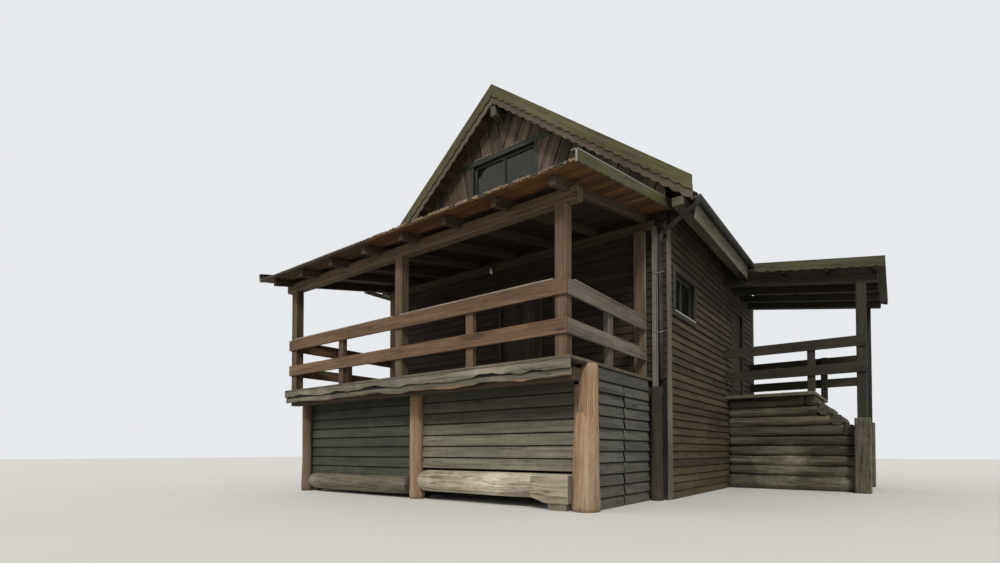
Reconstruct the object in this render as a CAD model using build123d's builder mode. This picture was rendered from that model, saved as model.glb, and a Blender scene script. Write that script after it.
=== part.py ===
"""A weathered timber cabin on log posts, with a roofed veranda in front and a small roofed
entrance on its right-hand side.

Millimetres. Z is up from the lowest ground, the veranda faces -Y, and the origin is the
middle of the foot of the middle log post under the veranda.
"""

import os
from math import cos, pi, radians, sin, tan

from build123d import *

os.makedirs("parts", exist_ok=True)

# Levels
deck_level = 1950
storey_height = 2650
knee_wall = 370
floor_depth = 100
attic_level = deck_level + storey_height
wall_top_level = attic_level + knee_wall

# Veranda plan: log posts stand in a row at Y = 0, the square posts stand out in front of them
house_width = 6560
house_past_posts = 560
bays = 4
bay = (house_width - house_past_posts) / bays
post = 160
post_row_y = -360
deck_overhang_front = 130
deck_overhang_right = 130
deck_overhang_left = 20
deck_board = 40
half_span = bay * bays / 2
post_front_y = post_row_y - post / 2
deck_front_y = post_front_y - deck_overhang_front
deck_left = -half_span - post / 2 - deck_overhang_left
deck_right = half_span + post / 2 + deck_overhang_right
deck_underside = deck_level - deck_board

# House plan
house_centre = 140
house_depth = 6280
house_front_y = 2180
wall = 150
house_left = house_centre - house_width / 2
house_right = house_centre + house_width / 2
house_rear_y = house_front_y + house_depth
inner_left = house_left + wall
inner_right = house_right - wall
inner_front_y = house_front_y + wall
inner_rear_y = house_rear_y - wall
gable_foot_drop = 320
gable_foot = wall_top_level - gable_foot_drop

# Lapped boarding
skirt_lap = 166
wall_lap = 131
board_butt = 26
board_tip = 8

# Main roof, measured square to its slope from the top edges of the bargeboards
roof_pitch = radians(38.5)
eave_overhang = 530
rake_reach = 390
upstand = 160
sheet_rise = 24
sheet_metal = 3
sheet_past_eave = 40
ridge_clearance = 4
ridge_wing = 190
ridge_gap = 0.3
roof_board = 22
rafter_depth = 100
rafter_width = 70
rafter_pairs = 7
wave = 177
ridge_beam_width = 120
ridge_beam_depth = 200
eave_beam_width = 180
eave_beam_depth = 130
eave_beam_inset = 140
beam_seat = 30
barge_board = 25
barge_depth = 193
inner_barge_top = 110
inner_barge_bottom = 298
scallop = 200
scallop_drop = 26
scallop_facets = 4
eave_board_height = 320
left_eave_board_height = 60
eave_board_drop = 26
corner_board_overlap = 100
eave_board_thickness = 22
eave_board_start = 130

# Gutters and downpipes
gutter_radius = 55
gutter_metal = 2
gutter_drop = 70
pipe_radius = 37
pipe_bend_drop = 330
pipe_side_drop = 200
pipe_neck = 40
pipe_clearance = 12
pipe_from_rake = 48
pipe_from_corner = 79
right_pipe_foot = deck_underside + 15
left_pipe_foot = 150

# Veranda roof
veranda_pitch = radians(11)
post_height = 1950
beam_height = 170
beam_overhang = 170
rafter_notch = 42
veranda_rafter_depth = 133
veranda_rafter_width = 80
veranda_rafters_count = 8
veranda_rafter_overhang = 96
veranda_rafter_front = 352
wall_post_depth = 140
veranda_side_overhang = 500
veranda_half_width = half_span + veranda_side_overhang
veranda_eave_reach = 450
veranda_wave = 76
fascia_thickness = 25
fascia_height = 155
fascia_past_wall = 80
rake_clearance = 12
ridge_joint = 0.5
ledger_height = 150
ledger_depth = 100

# Railing
rail_height = 195
rail_thickness = 40
top_rail_bottom = 785
low_rail_bottom = 293
rail_cap = 22
rail_cap_width = 90
rail_cap_overhang = 8
rail_past_corner = 20
rail_joint = 0.5
side_baluster_from_post = 1300
side_baluster_y = post_front_y + side_baluster_from_post
baluster = 130
baluster_depth = 90

# Round timber under the veranda
left_log_radius = 100
middle_log_radius = 120
right_log_radius = 118
right_log_foot_radius = 168
right_log_foot_shift = 30
rear_log_radius = 88
rear_log_drop = 110
log_taper = 1.06
foot_log_taper = 0.92
log_sides = 14
log_flare = 1.12
log_flare_height = 320
left_log_x = -half_span - 40
left_log_y = -100
right_log_x = half_span + 160
rear_log_left_x = -half_span
rear_log_right_x = half_span + 290
rear_bearer_past_log = 68
rear_log_y = house_front_y - 135
hewn_step = 1280
left_sill_bottom = 60
left_sill_height = 300
right_sill_bottom = 140
right_sill_height = 336
sill_butt_length = 580
sill_butt_drop = 50

# Deck framing
joist_depth = 100
joist_width = 80
deck_joist_count = 6
rim_beam_height = 150
skirt_post = 110
skirt_thickness = 40
skirt_clearance = 3
right_skirt_offset = 20
left_skirt_offset = 30
side_skirt_clearance = 40
waney_height = 92
waney_thickness = 32
waney_gap = 12
waney_lap = 30
waney_ripple = 6
waney_top_gap = 4

# Windows and doors
frame_depth = 60
reveal = 30
sash_bar = 55
glass = 6
side_window_width = 1040
side_window_height = 670
side_window_sill = 1140
side_window_front = 290
gable_window_width = 1520
gable_window_height = 1150
gable_sill_height = 950
gable_window_sill = attic_level + gable_sill_height
window_trim = 75
window_trim_thickness = 28
door_width = 900
door_height = 2000
door_leaf = 45
veranda_door_x = 560

# Entrance on the right-hand side
porch_front_y = house_front_y + 3550
porch_depth = 2230
porch_rear_y = porch_front_y + porch_depth
porch_door_y = porch_front_y + 1030
porch_right = house_right + 2410
porch_floor_right = house_right + 1665
porch_roof_right = porch_right + 380
porch_gutter_clearance = 31
porch_pitch = radians(8.7)
porch_roof_front = porch_front_y - 300
porch_roof_rear = porch_rear_y + 560
porch_beam_height = 150
porch_beam_rows = 4
porch_inner_beam = 80
porch_joist_depth = 90
porch_joist_width = 60
porch_joists = 4
porch_fascia_height = 190
porch_base = 250
porch_base_top = deck_level - 550
porch_floor_thickness = 60
crib_course = 200
crib_joint = 0.5
crib_width = 200
crib_chamfer = 52
step_run = 216
steps = 4
porch_fascia_rise = 100


def facing(y):
    """Drawing plane across the cabin at depth y: its axes are X and Z, it faces -Y."""
    return Plane(origin=(0, y, 0), x_dir=(1, 0, 0), z_dir=(0, -1, 0))


def sideways(x):
    """Drawing plane along the cabin at x: its axes are Y and Z, it faces +X."""
    return Plane(origin=(x, 0, 0), x_dir=(0, 1, 0), z_dir=(1, 0, 0))


def block(x0, x1, y0, y1, z0, z1, mode=Mode.ADD):
    """A straight-edged timber between two corners."""
    with Locations(((x0 + x1) / 2, (y0 + y1) / 2, (z0 + z1) / 2)):
        Box(x1 - x0, y1 - y0, z1 - z0, mode=mode)


def prism(plane, outline, depth, mode=Mode.ADD):
    """A straight piece with the given outline, grown from the plane by depth."""
    with BuildSketch(plane) as section:
        with BuildLine():
            Polyline(*outline, close=True)
        make_face()
    extrude(section.sketch, amount=depth, mode=mode)


def save(piece, name):
    """Write one named piece."""
    piece.part.label = name
    export_step(piece.part, "parts/" + name + ".step")


def lapped_outline(face, back, bottom, top, lap):
    """Section of a wall of lapped boards: each board is thickest at its lower edge."""
    outward = 1 if face > back else -1
    points = [(back, top), (back, bottom)]
    rows = round((top - bottom) / lap)
    exposure = (top - bottom) / rows
    for row in range(rows):
        points.append((face + outward * board_butt, bottom + row * exposure))
        points.append((face + outward * board_tip, bottom + (row + 1) * exposure))
    return points


# Round timber: the front row, the two rear posts and the sills between them

skirt_face = 20
skirt_back = skirt_face + skirt_thickness
skirt_post_front = skirt_face - board_butt
right_skirt_post = right_log_x - right_log_radius - skirt_post + 20
left_skirt_post = left_log_x + left_log_radius * 0.6


def upright_log(x, y, foot_radius, top_radius, height):
    """A log standing on the ground, hewn with narrow flats: it flares at the foot and slims upward."""
    waist_radius = foot_radius + (top_radius - foot_radius) * log_flare_height / height
    for radius_below, radius_above, level, length in (
        (foot_radius * log_flare, waist_radius, 0, log_flare_height),
        (waist_radius, top_radius, log_flare_height, height - log_flare_height),
    ):
        with BuildSketch(Plane.XY.offset(level)) as lower:
            with Locations((x, y)):
                RegularPolygon(radius_below, log_sides)
        with BuildSketch(Plane.XY.offset(level + length)) as upper:
            with Locations((x, y)):
                RegularPolygon(radius_above, log_sides)
        loft([lower.sketch, upper.sketch])


def skirt_post_spaces(mode):
    """The two squared posts that carry the ends of the front skirt."""
    for x0 in (left_skirt_post, right_skirt_post):
        block(
            x0, x0 + skirt_post, skirt_post_front, skirt_post_front + skirt_post,
            0, bearer_bottom, mode=mode,
        )


bearer_top = deck_underside - joist_depth
bearer_bottom = bearer_top - rim_beam_height

with BuildPart() as log_posts:
    upright_log(left_log_x, left_log_y, left_log_radius * log_taper, left_log_radius, deck_underside)
    upright_log(0, 0, middle_log_radius * log_taper, middle_log_radius, deck_underside)
    upright_log(right_log_x, 0, right_log_radius * log_taper, right_log_radius, deck_underside)
    upright_log(
        right_log_x - right_log_foot_shift, 0,
        right_log_foot_radius, right_log_foot_radius * foot_log_taper, hewn_step,
    )
    for log_x in (rear_log_left_x, rear_log_right_x):
        upright_log(
            log_x, rear_log_y, rear_log_radius * log_taper, rear_log_radius,
            deck_underside - rear_log_drop,
        )
    skirt_post_spaces(Mode.SUBTRACT)
save(log_posts, "log_posts")

sill_ends = (
    left_skirt_post + skirt_post,
    -middle_log_radius * log_taper,
    middle_log_radius * log_taper,
    right_skirt_post,
)
sill_centre_y = -30
hewn_angle = radians(22)


def hewn_log(x0, x1, bottom, height):
    """A round log along X, with flat upper and lower faces."""
    middle = bottom + height / 2
    radius = height / 2 / cos(hewn_angle)
    with BuildSketch(
        Plane(origin=(x0, sill_centre_y, middle), x_dir=(0, 1, 0), z_dir=(1, 0, 0))
    ) as section:
        Circle(radius)
        Rectangle(radius * 3, height, mode=Mode.INTERSECT)
    extrude(section.sketch, amount=x1 - x0)


with BuildPart() as sill_logs:
    hewn_log(sill_ends[0], sill_ends[1], left_sill_bottom, left_sill_height)
    hewn_log(sill_ends[2], sill_ends[3], right_sill_bottom, right_sill_height)
    block(
        sill_ends[3] - sill_butt_length, sill_ends[3],
        sill_centre_y - right_sill_height / 2, sill_centre_y + right_sill_height / 2,
        right_sill_bottom - sill_butt_drop, right_sill_bottom + right_sill_height,
    )
    add(log_posts.part, mode=Mode.SUBTRACT)
save(sill_logs, "sill_logs")

# Boarded skirts between the log posts

left_sill_top = left_sill_bottom + left_sill_height
right_sill_top = right_sill_bottom + right_sill_height
right_skirt_face = right_log_x + right_skirt_offset
right_skirt_back = right_skirt_face - skirt_thickness
left_skirt_face = deck_left + left_skirt_offset
left_skirt_back = left_skirt_face + skirt_thickness
side_skirt_front_y = right_log_foot_radius + side_skirt_clearance
side_skirt_rear_y = rear_log_y - rear_log_radius * log_taper * log_flare - skirt_clearance
side_joint_y = 1010
side_joint = 8

joint_front_y = side_joint_y - side_joint / 2
joint_rear_y = side_joint_y + side_joint / 2

with BuildPart() as skirts:
    for x0, x1, bottom in (
        (sill_ends[0], sill_ends[1] - skirt_clearance, left_sill_top),
        (sill_ends[2] + skirt_clearance, sill_ends[3], right_sill_top),
    ):
        prism(
            sideways(x0),
            lapped_outline(skirt_face, skirt_back, bottom, bearer_top, skirt_lap),
            x1 - x0,
        )
    for face, back in ((left_skirt_face, left_skirt_back), (right_skirt_face, right_skirt_back)):
        outline = lapped_outline(face, back, 0, deck_underside, skirt_lap)
        prism(facing(joint_front_y), outline, joint_front_y - side_skirt_front_y)
        prism(facing(side_skirt_rear_y), outline, side_skirt_rear_y - joint_rear_y)
save(skirts, "skirts")

# Deck framing and boards

bearer_depth = 160
joist_margin = 130
rim_beam_past_post = 120

with BuildPart() as deck_beams:
    block(
        -half_span - post / 2, half_span + post / 2 + rim_beam_past_post,
        post_front_y, post_front_y + post, bearer_bottom, bearer_top,
    )
    for x0, x1 in ((sill_ends[0], sill_ends[1]), (sill_ends[2], sill_ends[3])):
        block(x0, x1, skirt_back, skirt_back + bearer_depth, bearer_bottom, bearer_top)
    block(
        left_skirt_back, rear_log_right_x + rear_bearer_past_log,
        house_front_y - bearer_depth / 2, house_front_y, bearer_bottom, bearer_top,
    )
    add(log_posts.part, mode=Mode.SUBTRACT)
save(deck_beams, "deck_beams")

joist_left = left_skirt_back + joist_margin
joist_right = right_skirt_back - joist_margin

with BuildPart() as deck_joists:
    for index in range(deck_joist_count):
        joist_x = joist_left + (joist_right - joist_left) * index / (deck_joist_count - 1)
        block(
            joist_x - joist_width / 2, joist_x + joist_width / 2,
            deck_front_y + waney_thickness * 2, house_front_y, bearer_top, deck_underside,
        )
    add(log_posts.part, mode=Mode.SUBTRACT)
save(deck_joists, "deck_joists")

with BuildPart() as skirt_posts:
    skirt_post_spaces(Mode.ADD)
save(skirt_posts, "skirt_posts")

with BuildPart() as deck_floor:
    block(deck_left, deck_right, deck_front_y, house_front_y, deck_underside, deck_level)
save(deck_floor, "deck_floor")


def waney_board(x0, x1, top, height, phase):
    """A slab board with the wavy edges of the tree, drawn across the front."""
    length = x1 - x0
    steps_along = 20
    upper = []
    lower = []
    for step in range(steps_along + 1):
        share = step / steps_along
        ripple = waney_ripple * (sin(share * 21 + phase) + 0.6 * sin(share * 47 + 2 * phase))
        upper.append((x0 + share * length, top + ripple / 3))
        lower.append((x0 + share * length, top - height + ripple))
    with BuildLine() as outline:
        Polyline(*upper, *reversed(lower), close=True)
    make_face(outline.edges())


upper_waney_top = deck_underside - waney_top_gap
lower_waney_top = upper_waney_top - waney_height - waney_gap

with BuildPart() as deck_fascia:
    with BuildSketch(facing(deck_front_y + waney_thickness)):
        waney_board(deck_left, deck_right, upper_waney_top, waney_height, 0.4)
    extrude(amount=waney_thickness)
    with BuildSketch(facing(deck_front_y + waney_thickness * 2)):
        waney_board(deck_left, deck_right, lower_waney_top + waney_lap, waney_height + waney_lap, 2.1)
    extrude(amount=waney_thickness)
save(deck_fascia, "deck_fascia")

# Veranda posts, railing and front beam

beam_bottom = deck_level + post_height
beam_top = beam_bottom + beam_height
rear_post_y = house_front_y - wall_post_depth

veranda_slope = tan(veranda_pitch)


def rafter_underside(y):
    """Height of the underside of the veranda rafters at depth y."""
    return beam_top - rafter_notch + (y - post_row_y) * veranda_slope


rafter_rise = veranda_rafter_depth / cos(veranda_pitch)
ledger_top = rafter_underside(house_front_y - ledger_depth) + rafter_notch / 2
ledger_bottom = ledger_top - ledger_height

with BuildPart() as veranda_posts:
    for index in range(0, bays + 1, 2):
        centre_x = -half_span + index * bay
        block(
            centre_x - post / 2, centre_x + post / 2,
            post_front_y, post_front_y + post, deck_level, beam_bottom,
        )
    for side in (-1, 1):
        block(
            side * half_span - post / 2, side * half_span + post / 2,
            rear_post_y, house_front_y, deck_level, ledger_bottom,
        )
save(veranda_posts, "veranda_posts")

rail_levels = (deck_level + low_rail_bottom, deck_level + top_rail_bottom)
outer_x = half_span + post / 2
side_rail_rear_y = rear_post_y + wall_post_depth / 2

side_rail_front_y = post_front_y + rail_joint
porch_rail_left = house_right + board_butt

with BuildPart() as rails:
    for level in rail_levels:
        block(
            -outer_x - rail_past_corner, outer_x + rail_thickness,
            post_front_y - rail_thickness, post_front_y, level, level + rail_height,
        )
        for side in (-1, 1):
            block(
                min(side * outer_x, side * (outer_x + rail_thickness)),
                max(side * outer_x, side * (outer_x + rail_thickness)),
                side_rail_front_y, side_rail_rear_y, level, level + rail_height,
            )
        for y in (porch_front_y - post / 2 - rail_thickness, porch_rear_y + post / 2):
            block(
                porch_rail_left, porch_right + post / 2, y, y + rail_thickness,
                level, level + rail_height,
            )
save(rails, "rails")

cap_level = rail_levels[1] + rail_height
cap_front_y = post_front_y - rail_thickness - rail_cap_overhang

with BuildPart() as rail_caps:
    for index in range(0, bays, 2):
        block(
            -half_span + index * bay + post / 2, -half_span + (index + 2) * bay - post / 2,
            cap_front_y, cap_front_y + rail_cap_width,
            cap_level, cap_level + rail_cap,
        )
    for side in (-1, 1):
        edge = side * (outer_x + rail_thickness + rail_cap_overhang)
        block(
            min(edge, edge - side * rail_cap_width), max(edge, edge - side * rail_cap_width),
            post_front_y + post, rear_post_y, cap_level, cap_level + rail_cap,
        )
save(rail_caps, "rail_caps")

with BuildPart() as balusters:
    for index in range(1, bays, 2):
        centre_x = -half_span + index * bay
        block(
            centre_x - baluster / 2, centre_x + baluster / 2,
            post_front_y, post_front_y + baluster_depth, deck_level, cap_level,
        )
    for side in (-1, 1):
        block(
            min(side * outer_x, side * (outer_x - baluster_depth)),
            max(side * outer_x, side * (outer_x - baluster_depth)),
            side_baluster_y - baluster / 2, side_baluster_y + baluster / 2, deck_level, cap_level,
        )
    for y in (porch_front_y - post / 2, porch_rear_y + post / 2 - baluster_depth):
        block(
            porch_floor_right - baluster, porch_floor_right, y, y + baluster_depth,
            deck_level, cap_level,
        )
save(balusters, "balusters")

with BuildPart() as veranda_beams:
    block(
        -outer_x - beam_overhang, outer_x + beam_overhang,
        post_front_y, post_front_y + post, beam_bottom, beam_top,
    )
    block(
        house_left, outer_x + beam_overhang,
        house_front_y - ledger_depth, house_front_y, ledger_bottom, ledger_top,
    )
save(veranda_beams, "veranda_beams")

# Veranda roof: rafters, boards, corrugated sheet and its scalloped side fascias

rafter_end_y = post_front_y - veranda_rafter_front
eave_y = post_front_y - veranda_eave_reach

rafter_span = 2 * (half_span + veranda_rafter_overhang)

with BuildPart() as veranda_rafters:
    for index in range(veranda_rafters_count):
        centre_x = rafter_span * (index / (veranda_rafters_count - 1) - 0.5)
        prism(
            sideways(centre_x - veranda_rafter_width / 2),
            [
                (rafter_end_y, rafter_underside(rafter_end_y)),
                (rafter_end_y, rafter_underside(rafter_end_y) + rafter_rise),
                (house_front_y, rafter_underside(house_front_y) + rafter_rise),
                (house_front_y, rafter_underside(house_front_y)),
            ],
            veranda_rafter_width,
        )
    add(veranda_beams.part, mode=Mode.SUBTRACT)
save(veranda_rafters, "veranda_rafters")


def sloping_slab(half_width, y0, y1, lower, thickness):
    """A sheet that follows the veranda slope, its faces square to Y at both ends."""
    rise = thickness / cos(veranda_pitch)
    prism(
        sideways(-half_width),
        [
            (y0, rafter_underside(y0) + lower),
            (y0, rafter_underside(y0) + lower + rise),
            (y1, rafter_underside(y1) + lower + rise),
            (y1, rafter_underside(y1) + lower),
        ],
        2 * half_width,
    )


board_half_width = veranda_half_width - fascia_thickness
board_rise = roof_board / cos(veranda_pitch)

with BuildPart() as veranda_roof_boards:
    sloping_slab(board_half_width, eave_y + 15, house_front_y, rafter_rise, roof_board)
save(veranda_roof_boards, "veranda_roof_boards")


def corrugated_outline(length, pitch, rise, metal, facets):
    """Section of a corrugated sheet lying on y = 0, from x = 0 to x = length."""
    waves = round(length / pitch)
    spacing = length / waves / facets
    depth = rise - metal
    crest = [
        (index * spacing, depth / 2 - depth / 2 * cos(2 * pi * index / facets))
        for index in range(waves * facets + 1)
    ]
    upper = [(x, y + metal) for x, y in crest]
    return crest + upper[::-1]


veranda_sheet_length = (house_front_y - eave_y) / cos(veranda_pitch)
sheet_top_end = rafter_underside(house_front_y) + rafter_rise + board_rise

with BuildPart() as veranda_roof_sheet:
    prism(
        Plane(
            origin=(-board_half_width, house_front_y, sheet_top_end),
            x_dir=(1, 0, 0), z_dir=(0, -cos(veranda_pitch), -sin(veranda_pitch)),
        ),
        corrugated_outline(2 * board_half_width, veranda_wave, sheet_rise, sheet_metal, 4),
        veranda_sheet_length,
    )
    block(
        -board_half_width, board_half_width, house_front_y, house_front_y + 20,
        sheet_top_end - 50, sheet_top_end + 50, mode=Mode.SUBTRACT,
    )
save(veranda_roof_sheet, "veranda_roof_sheet")


def scalloped_board(length, depth, drop, skew):
    """Outline of a board whose lower edge is a row of scallops. Its ends lean by skew."""
    pitch = length / round(length / scallop)
    points = [(0, 0), (length, 0)]
    for step in range(round(length / pitch) * scallop_facets + 1):
        hang = drop * sin(pi * (step % scallop_facets) / scallop_facets)
        points.append((length + skew - step * pitch / scallop_facets, -depth - hang))
    with BuildLine() as outline:
        Polyline(*points, close=True)
    make_face(outline.edges())


fascia_rear = {
    -1: house_front_y - rake_reach - rake_clearance,
    1: house_front_y + fascia_past_wall,
}
fascia_drop = 12
fascia_front_top = rafter_underside(eave_y) + rafter_rise + fascia_height

with BuildPart() as veranda_fascias:
    for side, rear_y in fascia_rear.items():
        with BuildSketch(
            Plane(
                origin=(side * veranda_half_width, eave_y, fascia_front_top),
                x_dir=(0, cos(veranda_pitch), sin(veranda_pitch)), z_dir=(1, 0, 0),
            )
        ):
            scalloped_board(
                (rear_y - eave_y) / cos(veranda_pitch),
                (fascia_height - fascia_drop) * cos(veranda_pitch), fascia_drop, 0,
            )
        extrude(amount=-side * fascia_thickness)
save(veranda_fascias, "veranda_fascias")

# House: floors, walls and gables

with BuildPart() as house_floors:
    for level in (deck_level, attic_level):
        block(inner_left, inner_right, inner_front_y, inner_rear_y, level - floor_depth, level)
save(house_floors, "house_floors")

roof_slope = tan(roof_pitch)
boards_depth = upstand + sheet_rise
rafters_depth = boards_depth + roof_board
rafters_bottom_depth = rafters_depth + rafter_depth
plate_level = wall_top_level - beam_seat
ridge_level = plate_level + house_width / 2 * roof_slope + rafters_bottom_depth / cos(roof_pitch)


def roof_line(x, depth):
    """Height at x of the plane that lies depth below the bargeboard tops, square to the slope."""
    return ridge_level - abs(x - house_centre) * roof_slope - depth / cos(roof_pitch)


eave_reach = house_width / 2 + eave_overhang
eave_left = house_centre - eave_reach
eave_right = house_centre + eave_reach
eave_board_level = roof_line(eave_right, rafters_depth) - eave_board_drop - eave_board_height
window_front_y = house_front_y + side_window_front
window_rear_y = window_front_y + side_window_width
window_bottom = deck_level + side_window_sill
window_top = window_bottom + side_window_height
door_top = deck_level + door_height

with BuildPart() as front_wall:
    block(house_left, house_right, house_front_y, inner_front_y, 0, gable_foot)
    block(
        veranda_door_x - door_width / 2, veranda_door_x + door_width / 2,
        house_front_y, inner_front_y, deck_level, door_top, mode=Mode.SUBTRACT,
    )
save(front_wall, "front_wall")

with BuildPart() as right_wall:
    prism(
        facing(inner_rear_y),
        lapped_outline(house_right, inner_right, 0, wall_top_level, wall_lap),
        inner_rear_y - inner_front_y,
    )
    block(
        inner_right, house_right + wall, window_front_y, window_rear_y,
        window_bottom, window_top, mode=Mode.SUBTRACT,
    )
    block(
        inner_right, house_right + wall, porch_door_y - door_width / 2, porch_door_y + door_width / 2,
        deck_level, door_top, mode=Mode.SUBTRACT,
    )
save(right_wall, "right_wall")

with BuildPart() as left_wall:
    prism(
        facing(inner_rear_y),
        lapped_outline(house_left, inner_left, 0, wall_top_level, wall_lap),
        inner_rear_y - inner_front_y,
    )
    block(
        house_left - wall, inner_left, window_front_y, window_rear_y,
        window_bottom, window_top, mode=Mode.SUBTRACT,
    )
save(left_wall, "left_wall")

rear_window_x = house_centre - side_window_width / 2

with BuildPart() as rear_wall:
    prism(
        sideways(house_left),
        lapped_outline(house_rear_y, inner_rear_y, 0, gable_foot, wall_lap),
        house_width,
    )
    block(
        rear_window_x, rear_window_x + side_window_width, inner_rear_y, house_rear_y + wall,
        window_bottom, window_top, mode=Mode.SUBTRACT,
    )
save(rear_wall, "rear_wall")

gable_window_top = gable_window_sill + gable_window_height
gable_eave = roof_line(house_right, rafters_depth)
gable_peak = roof_line(house_centre, rafters_depth)
ridge_beam_top = roof_line(house_centre + ridge_beam_width / 2, rafters_bottom_depth) + beam_seat
ridge_beam_bottom = ridge_beam_top - ridge_beam_depth


def gable(y):
    """A gable wall with its window, behind the face at y."""
    prism(
        facing(y + wall),
        [
            (house_left, gable_foot), (house_right, gable_foot), (house_right, gable_eave),
            (house_centre, gable_peak), (house_left, gable_eave),
        ],
        wall,
    )
    block(
        house_centre - gable_window_width / 2, house_centre + gable_window_width / 2,
        y, y + wall, gable_window_sill, gable_window_top, mode=Mode.SUBTRACT,
    )
    block(
        house_centre - ridge_beam_width / 2, house_centre + ridge_beam_width / 2,
        y, y + wall, ridge_beam_bottom, ridge_beam_top, mode=Mode.SUBTRACT,
    )


with BuildPart() as gables:
    gable(house_front_y)
    gable(inner_rear_y)
save(gables, "gables")

corner_proud = board_butt + 4

with BuildPart() as corner_boards:
    for side, edge in ((-1, house_left), (1, house_right)):
        for y0 in (house_front_y, inner_rear_y):
            block(
                min(edge, edge + side * corner_proud), max(edge, edge + side * corner_proud),
                y0, y0 + wall, 0, eave_board_level + corner_board_overlap,
            )
save(corner_boards, "corner_boards")

# Windows and doors


def window_across(x0, x1, y0, z0, z1, panes):
    """A window in a wall that faces along Y, its frame between y0 and y0 + frame_depth."""
    block(x0, x1, y0, y0 + frame_depth, z0, z1)
    pane_width = (x1 - x0 - sash_bar * (panes + 1)) / panes
    for index in range(panes):
        left = x0 + sash_bar + index * (pane_width + sash_bar)
        block(
            left, left + pane_width, y0, y0 + frame_depth,
            z0 + sash_bar, z1 - sash_bar, mode=Mode.SUBTRACT,
        )


def window_along(x0, y0, y1, z0, z1, panes):
    """A window in a wall that faces along X, its frame between x0 and x0 + frame_depth."""
    block(x0, x0 + frame_depth, y0, y1, z0, z1)
    pane_width = (y1 - y0 - sash_bar * (panes + 1)) / panes
    for index in range(panes):
        near = y0 + sash_bar + index * (pane_width + sash_bar)
        block(
            x0, x0 + frame_depth, near, near + pane_width,
            z0 + sash_bar, z1 - sash_bar, mode=Mode.SUBTRACT,
        )


gable_left = house_centre - gable_window_width / 2
gable_right = house_centre + gable_window_width / 2

with BuildPart() as window_frames:
    for y0 in (house_front_y + reveal, house_rear_y - reveal - frame_depth):
        window_across(gable_left, gable_right, y0, gable_window_sill, gable_window_top, 2)
    for x0 in (house_right - reveal - frame_depth, house_left + reveal):
        window_along(x0, window_front_y, window_rear_y, window_bottom, window_top, 2)
    window_across(
        rear_window_x, rear_window_x + side_window_width, house_rear_y - reveal - frame_depth,
        window_bottom, window_top, 2,
    )
save(window_frames, "window_frames")


def trim_ring(plane, left, right, bottom, top, thickness):
    """Four boards mitred into a surround, laid on the wall round an opening."""
    with BuildSketch(plane) as ring:
        with Locations(((left + right) / 2, (bottom + top) / 2)):
            Rectangle(right - left + 2 * window_trim, top - bottom + 2 * window_trim)
            Rectangle(right - left, top - bottom, mode=Mode.SUBTRACT)
    extrude(ring.sketch, amount=thickness)


with BuildPart() as window_trims:
    trim_ring(
        facing(house_front_y), gable_left, gable_right,
        gable_window_sill, gable_window_top, window_trim_thickness,
    )
    trim_ring(
        Plane(origin=(0, house_rear_y, 0), x_dir=(-1, 0, 0), z_dir=(0, 1, 0)),
        -gable_right, -gable_left, gable_window_sill, gable_window_top, window_trim_thickness,
    )
    trim_ring(
        sideways(house_right + board_butt), window_front_y, window_rear_y,
        window_bottom, window_top, window_trim_thickness,
    )
    trim_ring(
        Plane(origin=(house_left - board_butt, 0, 0), x_dir=(0, -1, 0), z_dir=(-1, 0, 0)),
        -window_rear_y, -window_front_y, window_bottom, window_top, window_trim_thickness,
    )
    trim_ring(
        Plane(origin=(0, house_rear_y + board_butt, 0), x_dir=(-1, 0, 0), z_dir=(0, 1, 0)),
        -rear_window_x - side_window_width, -rear_window_x,
        window_bottom, window_top, window_trim_thickness,
    )
save(window_trims, "window_trims")


def panes_across(x0, x1, y_middle, z0, z1, panes):
    """Glass for window_across, filling each pane."""
    pane_width = (x1 - x0 - sash_bar * (panes + 1)) / panes
    for index in range(panes):
        left = x0 + sash_bar + index * (pane_width + sash_bar)
        block(
            left, left + pane_width, y_middle - glass / 2, y_middle + glass / 2,
            z0 + sash_bar, z1 - sash_bar,
        )


def panes_along(x_middle, y0, y1, z0, z1, panes):
    """Glass for window_along, filling each pane."""
    pane_width = (y1 - y0 - sash_bar * (panes + 1)) / panes
    for index in range(panes):
        near = y0 + sash_bar + index * (pane_width + sash_bar)
        block(
            x_middle - glass / 2, x_middle + glass / 2, near, near + pane_width,
            z0 + sash_bar, z1 - sash_bar,
        )


with BuildPart() as window_glass:
    for y_middle in (
        house_front_y + reveal + frame_depth / 2,
        house_rear_y - reveal - frame_depth / 2,
    ):
        panes_across(gable_left, gable_right, y_middle, gable_window_sill, gable_window_top, 2)
    for x_middle in (
        house_right - reveal - frame_depth / 2,
        house_left + reveal + frame_depth / 2,
    ):
        panes_along(x_middle, window_front_y, window_rear_y, window_bottom, window_top, 2)
    panes_across(
        rear_window_x, rear_window_x + side_window_width, house_rear_y - reveal - frame_depth / 2,
        window_bottom, window_top, 2,
    )
save(window_glass, "window_glass")

with BuildPart() as doors:
    block(
        veranda_door_x - door_width / 2, veranda_door_x + door_width / 2,
        house_front_y + reveal, house_front_y + reveal + door_leaf, deck_level, door_top,
    )
    block(
        house_right - reveal - door_leaf, house_right - reveal,
        porch_door_y - door_width / 2, porch_door_y + door_width / 2, deck_level, door_top,
    )
save(doors, "doors")

# Main roof

rake_front_y = house_front_y - rake_reach
rake_rear_y = house_rear_y + rake_reach
roof_front_y = rake_front_y + 2 * barge_board
roof_rear_y = rake_rear_y - 2 * barge_board
roof_length = roof_rear_y - roof_front_y
beam_tops = roof_line(eave_right - eave_beam_inset, rafters_bottom_depth) + beam_seat
eave_beam_front = {-1: house_front_y, 1: roof_front_y}

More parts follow.
